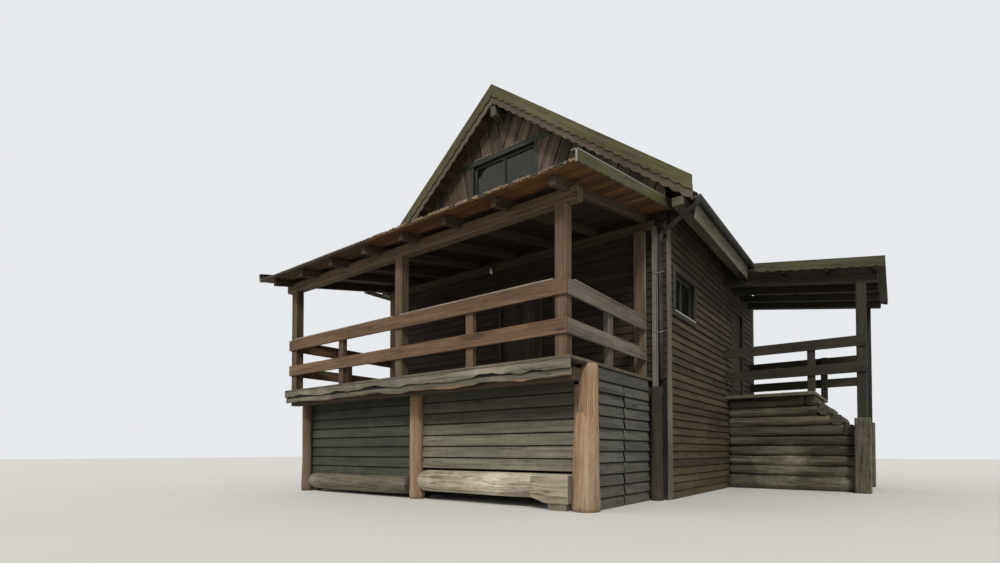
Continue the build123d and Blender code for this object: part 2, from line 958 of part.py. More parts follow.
with BuildPart() as roof_beams:
    block(
        house_centre - ridge_beam_width / 2, house_centre + ridge_beam_width / 2,
        roof_front_y, roof_rear_y, ridge_beam_bottom, ridge_beam_top,
    )
    for side in (-1, 1):
        outer = house_centre + side * (eave_reach - eave_beam_inset)
        inner = outer - side * eave_beam_width
        block(
            min(outer, inner), max(outer, inner), eave_beam_front[side], roof_rear_y,
            beam_tops - eave_beam_depth, beam_tops,
        )
save(roof_beams, "roof_beams")

with BuildPart() as roof_rafters:
    for index in range(rafter_pairs):
        centre_y = inner_front_y + (inner_rear_y - inner_front_y) * (index + 0.5) / rafter_pairs
        for side in (-1, 1):
            head = house_centre + side * ridge_joint
            tail = house_centre + side * (eave_reach - eave_board_thickness)
            prism(
                facing(centre_y + rafter_width / 2),
                [
                    (head, roof_line(head, rafters_bottom_depth)),
                    (tail, roof_line(tail, rafters_bottom_depth)),
                    (tail, roof_line(tail, rafters_depth)),
                    (head, roof_line(head, rafters_depth)),
                ],
                rafter_width,
            )
    add(roof_beams.part, mode=Mode.SUBTRACT)
    for x0, x1 in ((house_left - board_butt, inner_left), (inner_right, house_right + board_butt)):
        block(
            x0, x1, inner_front_y, inner_rear_y,
            wall_top_level - floor_depth, wall_top_level, mode=Mode.SUBTRACT,
        )
save(roof_rafters, "roof_rafters")


def slope_plane(side, y, depth):
    """Plane square to one slope at the ridge: x runs along the ridge, y is out of the roof."""
    return Plane(
        origin=(house_centre, y, roof_line(house_centre, depth)),
        x_dir=(0, side, 0),
        z_dir=(side * cos(roof_pitch), 0, -sin(roof_pitch)),
    )


slope_length = eave_reach / cos(roof_pitch)

with BuildPart() as roof_boards:
    for side in (-1, 1):
        head = house_centre + side * ridge_joint
        edge = house_centre + side * eave_reach
        prism(
            facing(roof_rear_y),
            [
                (head, roof_line(head, rafters_depth)),
                (edge, roof_line(edge, rafters_depth)),
                (edge, roof_line(edge, boards_depth)),
                (head, roof_line(head, boards_depth)),
            ],
            roof_length,
        )
save(roof_boards, "roof_boards")

sheet_start = sheet_rise * tan(roof_pitch) + ridge_clearance

with BuildPart() as roof_sheets:
    for side, start_y in ((-1, roof_rear_y), (1, roof_front_y)):
        prism(
            slope_plane(side, start_y, boards_depth).offset(sheet_start),
            corrugated_outline(roof_length, wave, sheet_rise, sheet_metal, 4),
            slope_length + sheet_past_eave - sheet_start,
        )
save(roof_sheets, "roof_sheets")

cap_lower = upstand - ridge_gap
cap_upper = cap_lower - sheet_metal
cap_edges = (house_centre - ridge_wing, house_centre, house_centre + ridge_wing)

with BuildPart() as ridge_cap:
    prism(
        facing(roof_rear_y),
        [(x, roof_line(x, cap_lower)) for x in cap_edges]
        + [(x, roof_line(x, cap_upper)) for x in reversed(cap_edges)],
        roof_length,
    )
save(ridge_cap, "ridge_cap")


def bargeboard(side, y, towards_rear, top_depth, bottom_depth):
    """One scalloped bargeboard on one slope, its outer face at y."""
    head = house_centre + side * ridge_joint
    origin = (head, y, roof_line(head, top_depth))
    depth = bottom_depth - top_depth - scallop_drop
    with BuildSketch(
        Plane(
            origin=origin,
            x_dir=(side * cos(roof_pitch), 0, -sin(roof_pitch)),
            z_dir=(0, -side, 0),
        )
    ) as board:
        scalloped_board(slope_length, depth, scallop_drop, depth * tan(roof_pitch))
    extrude(board.sketch, amount=-side * towards_rear * barge_board)


with BuildPart() as bargeboards:
    for outer_y, towards_rear in ((rake_front_y, 1), (rake_rear_y, -1)):
        inner_y = outer_y + towards_rear * barge_board
        for side in (-1, 1):
            bargeboard(side, outer_y, towards_rear, 0, barge_depth)
            bargeboard(side, inner_y, towards_rear, inner_barge_top, inner_barge_bottom)
save(bargeboards, "bargeboards")

with BuildPart() as eave_boards:
    for side, rear_y, height in (
        (-1, roof_rear_y, left_eave_board_height),
        (1, porch_roof_front - rake_clearance, eave_board_height),
    ):
        outer = house_centre + side * eave_reach
        inner = outer - side * eave_board_thickness
        block(
            min(outer, inner), max(outer, inner), roof_front_y + eave_board_start, rear_y,
            eave_board_level + eave_board_height - height, eave_board_level + eave_board_height,
        )
save(eave_boards, "eave_boards")

# Gutters and downpipes

gutter_x = eave_reach + gutter_radius + gutter_metal
gutter_level = roof_line(eave_right, boards_depth) - gutter_drop

with BuildPart() as gutters:
    for side in (-1, 1):
        with BuildSketch(facing(roof_rear_y)):
            with Locations((house_centre + side * gutter_x, gutter_level)):
                Circle(gutter_radius + gutter_metal)
                Circle(gutter_radius, mode=Mode.SUBTRACT)
            with Locations((house_centre + side * gutter_x, gutter_level + gutter_radius)):
                Rectangle(4 * gutter_radius, 2 * gutter_radius, mode=Mode.SUBTRACT)
        extrude(amount=roof_length)
save(gutters, "gutters")

pipe_bend_level = gutter_level - pipe_bend_drop
pipe_top = gutter_level - gutter_radius - gutter_metal
right_pipe = (
    (house_centre + gutter_x, roof_front_y + pipe_from_rake, pipe_top),
    (house_centre + gutter_x, roof_front_y + pipe_from_rake, pipe_top - pipe_neck),
    (house_right - pipe_from_corner, house_front_y - pipe_radius - pipe_clearance, pipe_bend_level),
    (house_right - pipe_from_corner, house_front_y - pipe_radius - pipe_clearance, right_pipe_foot),
)
left_pipe_x = house_left - board_butt - pipe_radius - pipe_clearance
left_pipe_y = house_rear_y - pipe_from_corner
left_pipe_drop = eave_board_level - pipe_radius - pipe_clearance
left_pipe = (
    (house_centre - gutter_x, left_pipe_y, pipe_top),
    (house_centre - gutter_x, left_pipe_y, left_pipe_drop),
    (left_pipe_x, left_pipe_y, left_pipe_drop - pipe_side_drop),
    (left_pipe_x, left_pipe_y, left_pipe_foot),
)

with BuildPart() as downpipes:
    for route in (left_pipe, right_pipe):
        with BuildLine() as pipe_line:
            Polyline(*route)
        with BuildSketch(Plane(origin=route[0], z_dir=(0, 0, -1))):
            Circle(pipe_radius)
        sweep(path=pipe_line.line, transition=Transition.RIGHT)
save(downpipes, "downpipes")

# Entrance on the right-hand side: posts, roof, floor, rails and the stepped log crib

porch_slope = tan(porch_pitch)
gutter_bottom = gutter_level - gutter_radius - gutter_metal
porch_roof_level = gutter_bottom - porch_gutter_clearance + (eave_right - house_right) * porch_slope


def porch_line(x, depth):
    """Height at x of the plane that lies depth below the porch sheet, measured upright."""
    return porch_roof_level - (x - house_right) * porch_slope - depth


porch_boards_depth = sheet_rise
porch_joists_depth = porch_boards_depth + roof_board
porch_beams_depth = porch_joists_depth + porch_joist_depth

with BuildPart() as porch_posts:
    for y in (porch_front_y, porch_rear_y):
        block(
            porch_right - post / 2, porch_right + post / 2, y - post / 2, y + post / 2,
            porch_base_top, porch_line(porch_right + post / 2, porch_beams_depth + porch_beam_height),
        )
save(porch_posts, "porch_posts")

with BuildPart() as porch_bases:
    for y in (porch_front_y, porch_rear_y):
        block(
            porch_right - porch_base / 2, porch_right + porch_base / 2,
            y - porch_base / 2, y + porch_base / 2, 0, porch_base_top,
        )
save(porch_bases, "porch_bases")

porch_beam_end = porch_roof_right - 120
porch_beam_start = house_right + board_butt
porch_roof_left = eave_right - eave_beam_inset
porch_fascia_left = eave_right + 2 * (gutter_radius + gutter_metal) + rake_clearance

porch_post_edges = (porch_right - post / 2, porch_right + post / 2)

with BuildPart() as porch_beams:
    for row in range(porch_beam_rows):
        y = porch_front_y + porch_depth * row / (porch_beam_rows - 1)
        width = post if row in (0, porch_beam_rows - 1) else porch_inner_beam
        seat = porch_line(porch_post_edges[1], porch_beams_depth + porch_beam_height)
        prism(
            facing(y + width / 2),
            [
                (porch_beam_start, porch_line(porch_beam_start, porch_beams_depth)),
                (porch_beam_end, porch_line(porch_beam_end, porch_beams_depth)),
                (porch_beam_end, porch_line(porch_beam_end, porch_beams_depth + porch_beam_height)),
                (porch_post_edges[1], seat),
                (porch_post_edges[0], seat),
                (
                    porch_post_edges[0],
                    porch_line(porch_post_edges[0], porch_beams_depth + porch_beam_height),
                ),
                (porch_beam_start, porch_line(porch_beam_start, porch_beams_depth + porch_beam_height)),
            ],
            width,
        )
save(porch_beams, "porch_beams")

porch_joist_front_y = porch_roof_front + fascia_thickness
porch_joist_rear_y = porch_roof_rear - fascia_thickness

porch_joist_pitch = (porch_beam_end - porch_roof_left - porch_joist_width) / (porch_joists - 1)

with BuildPart() as porch_roof_joists:
    for index in range(porch_joists):
        x0 = porch_roof_left + index * porch_joist_pitch
        x1 = x0 + porch_joist_width
        prism(
            facing(porch_joist_rear_y),
            [
                (x0, porch_line(x0, porch_beams_depth)), (x1, porch_line(x1, porch_beams_depth)),
                (x1, porch_line(x1, porch_joists_depth)), (x0, porch_line(x0, porch_joists_depth)),
            ],
            porch_joist_rear_y - porch_joist_front_y,
        )
save(porch_roof_joists, "porch_roof_joists")

with BuildPart() as porch_roof:
    prism(
        facing(porch_joist_rear_y),
        [
            (porch_roof_left, porch_line(porch_roof_left, porch_joists_depth)),
            (porch_roof_right, porch_line(porch_roof_right, porch_joists_depth)),
            (porch_roof_right, porch_line(porch_roof_right, 0)),
            (porch_roof_left, porch_line(porch_roof_left, 0)),
        ],
        porch_joist_rear_y - porch_joist_front_y,
    )
save(porch_roof, "porch_roof")

porch_fascia_bottom = porch_fascia_height - porch_fascia_rise

with BuildPart() as porch_fascias:
    for y in (porch_joist_front_y, porch_roof_rear):
        prism(
            facing(y),
            [
                (porch_fascia_left, porch_line(porch_fascia_left, -porch_fascia_rise)),
                (porch_roof_right, porch_line(porch_roof_right, -porch_fascia_rise)),
                (porch_roof_right, porch_line(porch_roof_right, porch_fascia_bottom)),
                (porch_fascia_left, porch_line(porch_fascia_left, porch_fascia_bottom)),
            ],
            fascia_thickness,
        )
save(porch_fascias, "porch_fascias")

crib_top = deck_level - porch_floor_thickness
crib_left = house_right + board_butt
crib_courses = int(crib_top // crib_course)
crib_front_y = porch_front_y + porch_base / 2 + pipe_clearance
crib_rear_y = porch_rear_y - porch_base / 2 - pipe_clearance

with BuildPart() as porch_floor:
    block(
        crib_left, porch_floor_right, porch_front_y - post / 2, porch_rear_y + post / 2,
        crib_top, deck_level,
    )
save(porch_floor, "porch_floor")


def course_levels(course):
    """Lower and upper face of one course of the crib, counted from the top."""
    top = crib_top - course * crib_course
    bottom = top - crib_course + crib_joint if course < crib_courses - 1 else 0
    return bottom, top


def crib_log(plane, centre, bottom, top, length):
    """A log of the crib with hewn corners, grown from the plane, its middle line at centre."""
    half_width = crib_width / 2
    prism(
        plane,
        [
            (centre - half_width, bottom + crib_chamfer), (centre - half_width + crib_chamfer, bottom),
            (centre + half_width - crib_chamfer, bottom), (centre + half_width, bottom + crib_chamfer),
            (centre + half_width, top - crib_chamfer), (centre + half_width - crib_chamfer, top),
            (centre - half_width + crib_chamfer, top), (centre - half_width, top - crib_chamfer),
        ],
        length,
    )


crib_middles = (crib_front_y + crib_width / 2, crib_rear_y - crib_width / 2)
crib_end = porch_floor_right + (steps - 1) * step_run

with BuildPart() as log_crib:
    for course in range(crib_courses):
        bottom, top = course_levels(course)
        reach = min(porch_floor_right + (course - 1) * step_run, crib_end)
        for middle in crib_middles:
            crib_log(sideways(crib_left), middle, bottom, top, reach - crib_left)
        if course >= steps:
            crib_log(
                facing(crib_middles[1] - crib_width / 2 - crib_joint), crib_end - crib_width / 2,
                bottom, top, crib_middles[1] - crib_middles[0] - crib_width - 2 * crib_joint,
            )
save(log_crib, "log_crib")

with BuildPart() as log_steps:
    for course in range(steps):
        bottom, top = course_levels(course)
        back = porch_floor_right + (course - 1) * step_run + crib_joint
        prism(
            facing(crib_rear_y),
            [
                (back, bottom), (back + step_run - crib_chamfer, bottom),
                (back + step_run, bottom + crib_chamfer), (back + step_run, top - crib_chamfer / 2),
                (back + step_run - crib_chamfer / 2, top), (back, top),
            ],
            crib_rear_y - crib_front_y,
        )
save(log_steps, "log_steps")
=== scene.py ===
"""Looks of the log cabin: every board, log, sheet and pipe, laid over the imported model."""

import logging
import math
import random
from dataclasses import dataclass
from enum import Enum
from typing import Callable, Iterable, Optional, Sequence, Union

import bmesh
import bpy
from mathutils import Matrix, Vector, noise


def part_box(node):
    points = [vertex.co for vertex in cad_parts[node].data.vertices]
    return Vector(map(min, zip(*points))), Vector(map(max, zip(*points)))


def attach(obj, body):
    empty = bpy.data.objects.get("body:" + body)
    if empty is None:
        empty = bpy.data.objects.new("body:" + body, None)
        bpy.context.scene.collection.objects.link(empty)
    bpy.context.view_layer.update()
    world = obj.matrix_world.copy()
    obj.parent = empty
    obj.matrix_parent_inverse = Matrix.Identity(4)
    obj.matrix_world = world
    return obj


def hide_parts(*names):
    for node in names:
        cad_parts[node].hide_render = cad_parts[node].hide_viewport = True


log = logging.getLogger("cabin")
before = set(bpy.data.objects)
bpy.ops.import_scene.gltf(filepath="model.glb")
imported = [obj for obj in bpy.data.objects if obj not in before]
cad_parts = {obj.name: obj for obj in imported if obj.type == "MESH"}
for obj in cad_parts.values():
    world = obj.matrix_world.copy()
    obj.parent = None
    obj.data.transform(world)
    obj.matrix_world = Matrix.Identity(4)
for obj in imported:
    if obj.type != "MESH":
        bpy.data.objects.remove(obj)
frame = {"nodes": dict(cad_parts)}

Colour = tuple[float, float, float]
Span = tuple[float, float, float, float]
Profile = Callable[[float], float]
Region = Callable[[Vector], bool]
Mesh = bmesh.types.BMesh
Faces = list[bmesh.types.BMFace]
Verts = list[bmesh.types.BMVert]
BODY = "root"
UP = Vector((0, 0, 1))
RIGHT = Vector((1, 0, 0))
BACK = Vector((0, 1, 0))


class Slot(Enum):
    """Material slots."""

    DARK_TIMBER = "dark_timber"
    RAIL_TIMBER = "rail_timber"
    WEATHERED_BOARDS = "weathered_boards"
    GABLE_BOARDS = "gable_boards"
    FASCIA_TIMBER = "fascia_timber"
    LOG_WOOD = "log_wood"
    ROOF_METAL = "roof_metal"
    BLACK_METAL = "black_metal"
    WINDOW_PAINT = "window_paint"
    WINDOW_GLASS = "window_glass"


class Socket:
    """A number coming out of a node, for use in plain Python sums."""

    def __init__(self, graph: "Graph", source: bpy.types.NodeSocket) -> None:
        """Wrap an output socket of the graph."""
        self.graph = graph
        self.source = source

    def _sum(self, operation: str, first: object, second: object, clamp: bool = False) -> "Socket":
        """Add one Math node for two values, kept between 0 and 1 if clamp is set."""
        settings = {"operation": operation, "use_clamp": clamp}
        return self.graph.add("ShaderNodeMath", settings, {0: first, 1: second})

    def __add__(self, other: object) -> "Socket":
        """Sum."""
        return self._sum("ADD", self, other)

    __radd__ = __add__

    def __mul__(self, other: object) -> "Socket":
        """Product."""
        return self._sum("MULTIPLY", self, other)

    __rmul__ = __mul__

    def __sub__(self, other: object) -> "Socket":
        """Difference."""
        return self._sum("SUBTRACT", self, other)

    def __rsub__(self, other: object) -> "Socket":
        """Difference with this socket taken away."""
        return self._sum("SUBTRACT", other, self)

    def __truediv__(self, other: object) -> "Socket":
        """Quotient."""
        return self._sum("DIVIDE", self, other)

    def __rtruediv__(self, other: object) -> "Socket":
        """Quotient with this socket below the line."""
        return self._sum("DIVIDE", other, self)

    def __abs__(self) -> "Socket":
        """Size without its sign."""
        return self._sum("ABSOLUTE", self, 0.0)

    def clamp(self) -> "Socket":
        """This value kept between 0 and 1."""
        return self._sum("ADD", self, 0.0, clamp=True)

    def step(self, low: float, high: float) -> "Socket":
        """A smooth rise from 0 at low to 1 at high, or a fall where low is the larger."""
        return ((self - low) / (high - low)).clamp()


class Graph:
    """The nodes of one material."""

    def __init__(self, name: str) -> None:
        """Start an empty material.

        Args:
            name: the material's name.
        """
        self.material = bpy.data.materials.new(name)
        self.material.use_nodes = True
        self.tree = self.material.node_tree
        self.tree.nodes.clear()

    def add(self, kind: str, settings: Optional[dict] = None, inputs: Optional[dict] = None,
            output: Union[int, str] = 0) -> Socket:
        """Add one node.

        Args:
            kind: the node's type.
            settings: its properties.
            inputs: values or sockets by input name or number.
            output: which output is used.

        Returns:
            That output.
        """
        node = self.tree.nodes.new(kind)
        for name, value in (settings or {}).items():
            setattr(node, name, value)
        for name, value in (inputs or {}).items():
            if isinstance(value, Socket):
                self.tree.links.new(value.source, node.inputs[name])
            elif isinstance(value, tuple) and len(value) == 3 and node.inputs[name].type == "RGBA":
                node.inputs[name].default_value = (*value, 1.0)
            else:
                node.inputs[name].default_value = value
        return Socket(self, node.outputs[output])

    def mix(self, first: object, second: object, factor: object) -> Socket:
        """Blend two colours, from the first at factor 0 to the second at factor 1."""
        settings = {"data_type": "RGBA", "clamp_factor": True}
        return self.add("ShaderNodeMix", settings, {0: factor, 6: first, 7: second}, 2)

    def brighten(self, colour: Socket, amount: Socket) -> Socket:
        """Scale a colour, which an amount of 1 leaves as it is."""
        return self.add("ShaderNodeVectorMath", {"operation": "SCALE"}, {0: colour, "Scale": amount})

    def cells(self, vector: Socket, scale: float) -> tuple[Socket, Socket]:
        """Scattered points.

        Args:
            vector: where.
            scale: points per metre.

        Returns:
            The distance to the nearest point and that point's own random number.
        """
        wanted = {"Vector": vector, "Scale": scale, "Randomness": 1.0}
        distance = self.add("ShaderNodeTexVoronoi", {}, wanted, "Distance")
        colour = self.add("ShaderNodeTexVoronoi", {}, wanted, "Color")
        return distance, self.add("ShaderNodeSeparateXYZ", {}, {0: colour})

    def noise(self, vector: Socket, scale: float = 1.0, detail: float = 3.0, rough: float = 0.5) -> Socket:
        """Smooth noise around 0.5, with detail octaves, the finer ones weighted by rough."""
        wanted = {"Vector": vector, "Scale": scale, "Detail": detail, "Roughness": rough}
        return self.add("ShaderNodeTexNoise", {}, wanted)

    def vector(self, x: object = 0.0, y: object = 0.0, z: object = 0.0) -> Socket:
        """Join three numbers into a vector."""
        return self.add("ShaderNodeCombineXYZ", {}, {0: x, 1: y, 2: z})

    def parts(self, vector: Socket) -> tuple[Socket, Socket, Socket]:
        """Split a vector into its three numbers."""
        node = self.add("ShaderNodeSeparateXYZ", {}, {0: vector}).source.node
        return tuple(Socket(self, output) for output in node.outputs)

    def place(self) -> Socket:
        """Object coordinates."""
        return self.add("ShaderNodeTexCoord", {}, {}, "Object")

    def attribute(self, name: str) -> Socket:
        """A number kept on the mesh."""
        return self.add("ShaderNodeAttribute", {"attribute_name": name}, {}, "Fac")

    def finish(self, colour: object, roughness: object, height: Optional[Socket] = None,
               depth: float = 0.002, **fixed: object) -> bpy.types.Material:
        """Close the material.

        Args:
            colour: base colour.
            roughness: roughness.
            height: relief for the bump, in units of depth.
            depth: how deep the relief is, in metres.
            fixed: other sockets of the shader, with _ for a space.

        Returns:
            The material.
        """
        inputs: dict = {"Base Color": colour, "Roughness": roughness}
        inputs.update({name.replace("_", " "): value for name, value in fixed.items()})
        if height is not None:
            relief = {"Height": height, "Distance": depth, "Strength": 1.0}
            inputs["Normal"] = self.add("ShaderNodeBump", {}, relief)
        shader = self.add("ShaderNodeBsdfPrincipled", {}, inputs)
        output = self.tree.nodes.new("ShaderNodeOutputMaterial")
        self.tree.links.new(shader.source, output.inputs[0])
        return self.material


@dataclass(frozen=True)
class Wood:
    """Stained or bare timber that has stood outdoors for years.

    Its grain follows the piece's own UV map, and each board has its own tone.
    """

    name: str
    dark: Colour
    middle: Colour
    pale: Colour
    tone_spread: float = 0.5
    cracks: float = 0.35
    knots: float = 0.6
    bleach: float = 0.15
    bleached: Optional[Colour] = None
    moss: float = 0.0
    moss_colour: Colour = (0.10, 0.115, 0.035)
    soil: float = 0.3
    relief: float = 0.0016
    fibre_width: float = 34.0
    # lap: strength of the painted shadow on each board's top strip, under the next board; lap_from: where
    # across the board it starts
    lap: float = 0.0
    lap_from: float = 0.83
    rim: Optional[Colour] = None
    split_colour: Colour = (0.012, 0.009, 0.007)
    soil_colour: Colour = (0.16, 0.13, 0.09)
    soil_height: float = 0.75

    def build(self) -> bpy.types.Material:
        """Make the material.

        Returns:
            The material.
        """
        graph = Graph(self.name)
        along, across, _ = graph.parts(graph.add("ShaderNodeUVMap", {"uv_map": "grain"}))
        distance, chance = graph.cells(graph.vector(along * 1.3, across * 6.0), 1.0)
        knotty = chance.step(1.0 - self.knots * 0.55, 1.0 - self.knots * 0.5)
        knot = distance.step(0.16, 0.05) * knotty
        swirl = distance.step(0.42, 0.1) * knotty
        wander = graph.noise(graph.vector(along * 1.1, across * 3.0), 1.0, 2.0) * 0.05
        bent = across + wander + swirl * 0.012
        fibre = graph.noise(graph.vector(along * 1.5, bent * self.fibre_width), 1.0, 5.0, 0.6)
        fine = graph.noise(graph.vector(along * 9.0, bent * 260.0), 1.0, 2.0)
        streak = graph.noise(graph.vector(along * 0.5, bent * 9.0), 1.0, 3.0)
        split = graph.noise(graph.vector(along * 0.8, bent * 24.0, 3.0), 1.0, 4.0, 0.55)
        cracked = graph.noise(graph.vector(along * 0.9, across * 5.0, 7.0), 1.0, 1.0)
        crack = abs(split - 0.5).step(0.016, 0.004) * cracked.step(0.62 - self.cracks * 0.3, 0.72)
        face = graph.mix(self.dark, self.middle, fibre.step(0.32, 0.62))
        pale = streak.step(0.48, 0.8) * 0.7 + fine.step(0.5, 0.8) * 0.25
        face = graph.mix(face, self.pale, pale.clamp())
        sawn = graph.mix(self.dark, self.middle, graph.noise(graph.vector(along, across), 38.0, 2.0))
        colour = graph.mix(face, sawn, graph.attribute("end_grain"))
        colour = self._aged(graph, colour, fine, crack * 0.85 + knot * 0.6)
        if self.moss > 0.0:
            colour = self._mossy(graph, colour)
        if self.lap > 0.0:
            colour = self._lapped(graph, colour, along, across)
        relief = fibre * 0.55 + fine * 0.18 - crack * 1.6 - knot * 0.3
        return graph.finish(colour, 0.72 + fibre * 0.2, relief, self.relief, Specular_IOR_Level=0.3)

    def _aged(self, graph: Graph, colour: Socket, fine: Socket, splits: Socket) -> Socket:
        """Bleach, tone and stain the wood, and darken its splits and its foot.

        Args:
            graph: the material's nodes.
            colour: the fresh wood.
            fine: its finest fibres.
            splits: how deep its cracks and knots are.

        Returns:
            The aged colour.
        """
        place = graph.place()
        blotch = graph.noise(place, 0.9, 4.0, 0.6).step(0.5, 0.72)
        grey = blotch * fine.step(0.2, 0.7) * self.bleach * 2.0 + graph.attribute("worn") * 0.16
        bleached = self.bleached or tuple(min(part * 1.35, 0.8) for part in self.pale)
        colour = graph.mix(colour, bleached, grey.clamp())
        colour = graph.brighten(colour, 1.0 + (graph.attribute("tone") - 0.5) * self.tone_spread)
        stain = graph.noise(place, 3.5, 5.0, 0.65)
        colour = graph.brighten(colour, 0.84 + stain * 0.32)
        colour = graph.mix(colour, self.split_colour, splits.clamp())
        low = graph.parts(place)[2].step(self.soil_height, 0.05)
        return graph.mix(colour, self.soil_colour, low * stain.step(0.3, 0.75) * self.soil)

    def _mossy(self, graph: Graph, colour: Socket) -> Socket:
        """Add the moss in patches.

        Args:
            graph: the material's nodes.
            colour: the wood below it.

        Returns:
            The colour with moss.
        """
        place = graph.place()
        spread = self.moss * 0.25
        patches = graph.noise(place, 2.2, 5.0, 0.68).step(0.62 - spread, 0.86 - spread)
        growth = patches * graph.noise(place, 26.0, 3.0).step(0.3, 0.6)
        return graph.mix(colour, self.moss_colour, growth * 0.85)

    def _lapped(self, graph: Graph, colour: Socket, along: Socket, across: Socket) -> Socket:
        """Paint shadow on the top strip of each board, under the next one, and show a torn rim if it has one.

        Args:
            graph: the material's nodes.
            colour: the board's colour.
            along: place along the grain.
            across: place across the grain.

        Returns:
            The shaded colour.
        """
        upward = graph.parts(graph.add("ShaderNodeUVMap", {"uv_map": "board"}))[1]
        if self.rim:
            patches = graph.noise(graph.vector(along * 2.2, across * 9.0), 1.0, 3.0).step(0.42, 0.6)
            colour = graph.mix(colour, self.rim, upward.step(0.30, 0.05) * patches * 0.85)
        # Painted shadow where the next board laps this one
        shade = upward.step(self.lap_from, self.lap_from + 0.07) * self.lap
        return graph.brighten(colour, 1.0 - shade)


@dataclass(frozen=True)
class RoofSheet:
    """Corrugated sheet, dulled by weather, with lichen and needles in its valleys."""

    name: str
    base: Colour
    stained: Colour
    lichen: Colour
    litter: float = 0.3
    moss: Colour = (0.085, 0.10, 0.03)
    needles: Colour = (0.20, 0.12, 0.05)

    def build(self) -> bpy.types.Material:
        """Make the material.

        Returns:
            The material.
        """
        graph = Graph(self.name)
        place = graph.place()
        down, along, _ = graph.parts(graph.add("ShaderNodeUVMap", {"uv_map": "grain"}))
        streak = graph.noise(graph.vector(down * 0.5, along * 8.0), 1.0, 4.0)
        patch = graph.noise(place, 1.3, 5.0, 0.6)
        dull = streak.step(0.4, 0.7) * 0.6 + patch.step(0.45, 0.7) * 0.5
        colour = graph.mix(self.base, self.stained, dull.clamp())
        distance, chance = graph.cells(place, 9.0)
        edge = graph.noise(place, 30.0, 3.0) * 0.25
        spots = (distance + edge).step(0.42, 0.3) * chance.step(0.55, 0.7)
        colour = graph.mix(colour, self.lichen, spots * 0.7)
        moss = graph.noise(place, 2.6, 6.0, 0.7).step(0.56, 0.7)
        colour = graph.mix(colour, self.moss, moss * 0.6)
        crumbs = graph.noise(place, 70.0, 2.0, 0.7).step(0.62, 0.66) * patch.step(0.6 - self.litter, 0.8)
        colour = graph.mix(colour, self.needles, crumbs)
        relief = spots * 0.5 + crumbs + moss * 0.7 + graph.noise(place, 90.0, 2.0) * 0.3
        return graph.finish(colour, 0.85, relief, 0.002, Specular_IOR_Level=0.25)


@dataclass(frozen=True)
class PlainMetal:
    """Painted or bare sheet metal of gutters, pipes, clamps and flashings."""

    name: str
    base: Colour
    dusty: Colour
    roughness: float
    metallic: float = 0.0

    def build(self) -> bpy.types.Material:
        """Make the material.

        Returns:
            The material.
        """
        graph = Graph(self.name)
        place = graph.place()
        dust = graph.noise(place, 4.0, 5.0, 0.6).step(0.45, 0.75)
        specks = graph.noise(place, 60.0, 2.0).step(0.62, 0.72)
        colour = graph.mix(self.base, self.dusty, (dust * 0.55 + specks * 0.3).clamp())
        rough = self.roughness + dust * 0.25
        return graph.finish(colour, rough, specks, 0.0004, Metallic=self.metallic)


@dataclass(frozen=True)
class Pane:
    """Window glass in front of a dark room, with patches of dust on it."""

    name: str
    depth: Colour
    dust: Colour

    def build(self) -> bpy.types.Material:
        """Make the material.

        Returns:
            The material.
        """
        graph = Graph(self.name)
        place = graph.place()
        cloud = graph.noise(place, 2.4, 4.0, 0.6).step(0.42, 0.75)
        film = graph.noise(place, 14.0, 5.0, 0.7).step(0.5, 0.8)
        colour = graph.mix(self.depth, self.dust, (cloud * 0.35 + film * 0.25).clamp())
        rough = 0.03 + film * 0.12
        return graph.finish(colour, rough, Specular_IOR_Level=0.2)


@dataclass(frozen=True)
class Lamp:
    """Milky glass of the veranda lamp."""

    name: str
    base: Colour
    dusty: Colour

    def build(self) -> bpy.types.Material:
        """Make the material.

        Returns:
            The material.
        """
        graph = Graph(self.name)
        cloud = graph.noise(graph.place(), 40.0, 3.0)
        colour = graph.mix(self.base, self.dusty, cloud.step(0.4, 0.9))
        return graph.finish(colour, 0.3 + cloud * 0.1)


Finish = Union[Wood, RoofSheet, PlainMetal, Pane, Lamp]

# Finishes, each with its dark, middle and pale colour and how much its boards differ in tone
RAIL = Wood(
    "stained_rail", (0.050, 0.029, 0.016), (0.118, 0.071, 0.040), (0.20, 0.130, 0.080), 0.5, bleach=0.12,
)
POST = Wood(
    "stained_post", (0.045, 0.029, 0.018), (0.105, 0.071, 0.043), (0.18, 0.128, 0.082), 0.4, bleach=0.15,
)
# Dark stained boards, made darker still as painted shade for the wall behind the veranda; the same finish
# serves joists and rafters under the roofs
DARK = Wood(
    "dark_boards", (0.012, 0.008, 0.005), (0.031, 0.020, 0.012), (0.058, 0.039, 0.025), 0.5,
    bleach=0.1, lap=0.7,
)
# Beams and rafters darkened as painted shade under the veranda roof and the deck
BEAM = Wood(
    "dark_beams", (0.024, 0.016, 0.010), (0.060, 0.040, 0.025), (0.108, 0.075, 0.049), 0.4, bleach=0.1,
)
# Ceiling boards deep under the veranda roof, darkened as painted shade
CEILING = Wood(
    "ceiling_boards", (0.014, 0.009, 0.006), (0.037, 0.024, 0.015), (0.068, 0.047, 0.031), 0.5, bleach=0.05,
)
SIDE_RAIL = Wood(
    "greyed_rail", (0.060, 0.049, 0.040), (0.135, 0.113, 0.094), (0.22, 0.190, 0.163), 0.3, bleach=0.25,
)
RAIL_CAP = Wood(
    "pale_rail_cap", (0.090, 0.072, 0.053), (0.200, 0.165, 0.128), (0.31, 0.268, 0.218), 0.3, bleach=0.3,
)
SIDE = Wood(
    "side_boards", (0.023, 0.016, 0.010), (0.057, 0.042, 0.025), (0.100, 0.076, 0.047), 0.6,
    bleach=0.2, lap=0.8,
)
UNDER = Wood(
    "soffit_boards", (0.062, 0.026, 0.008), (0.165, 0.072, 0.020), (0.29, 0.145, 0.046), 1.0, bleach=0.05,
)
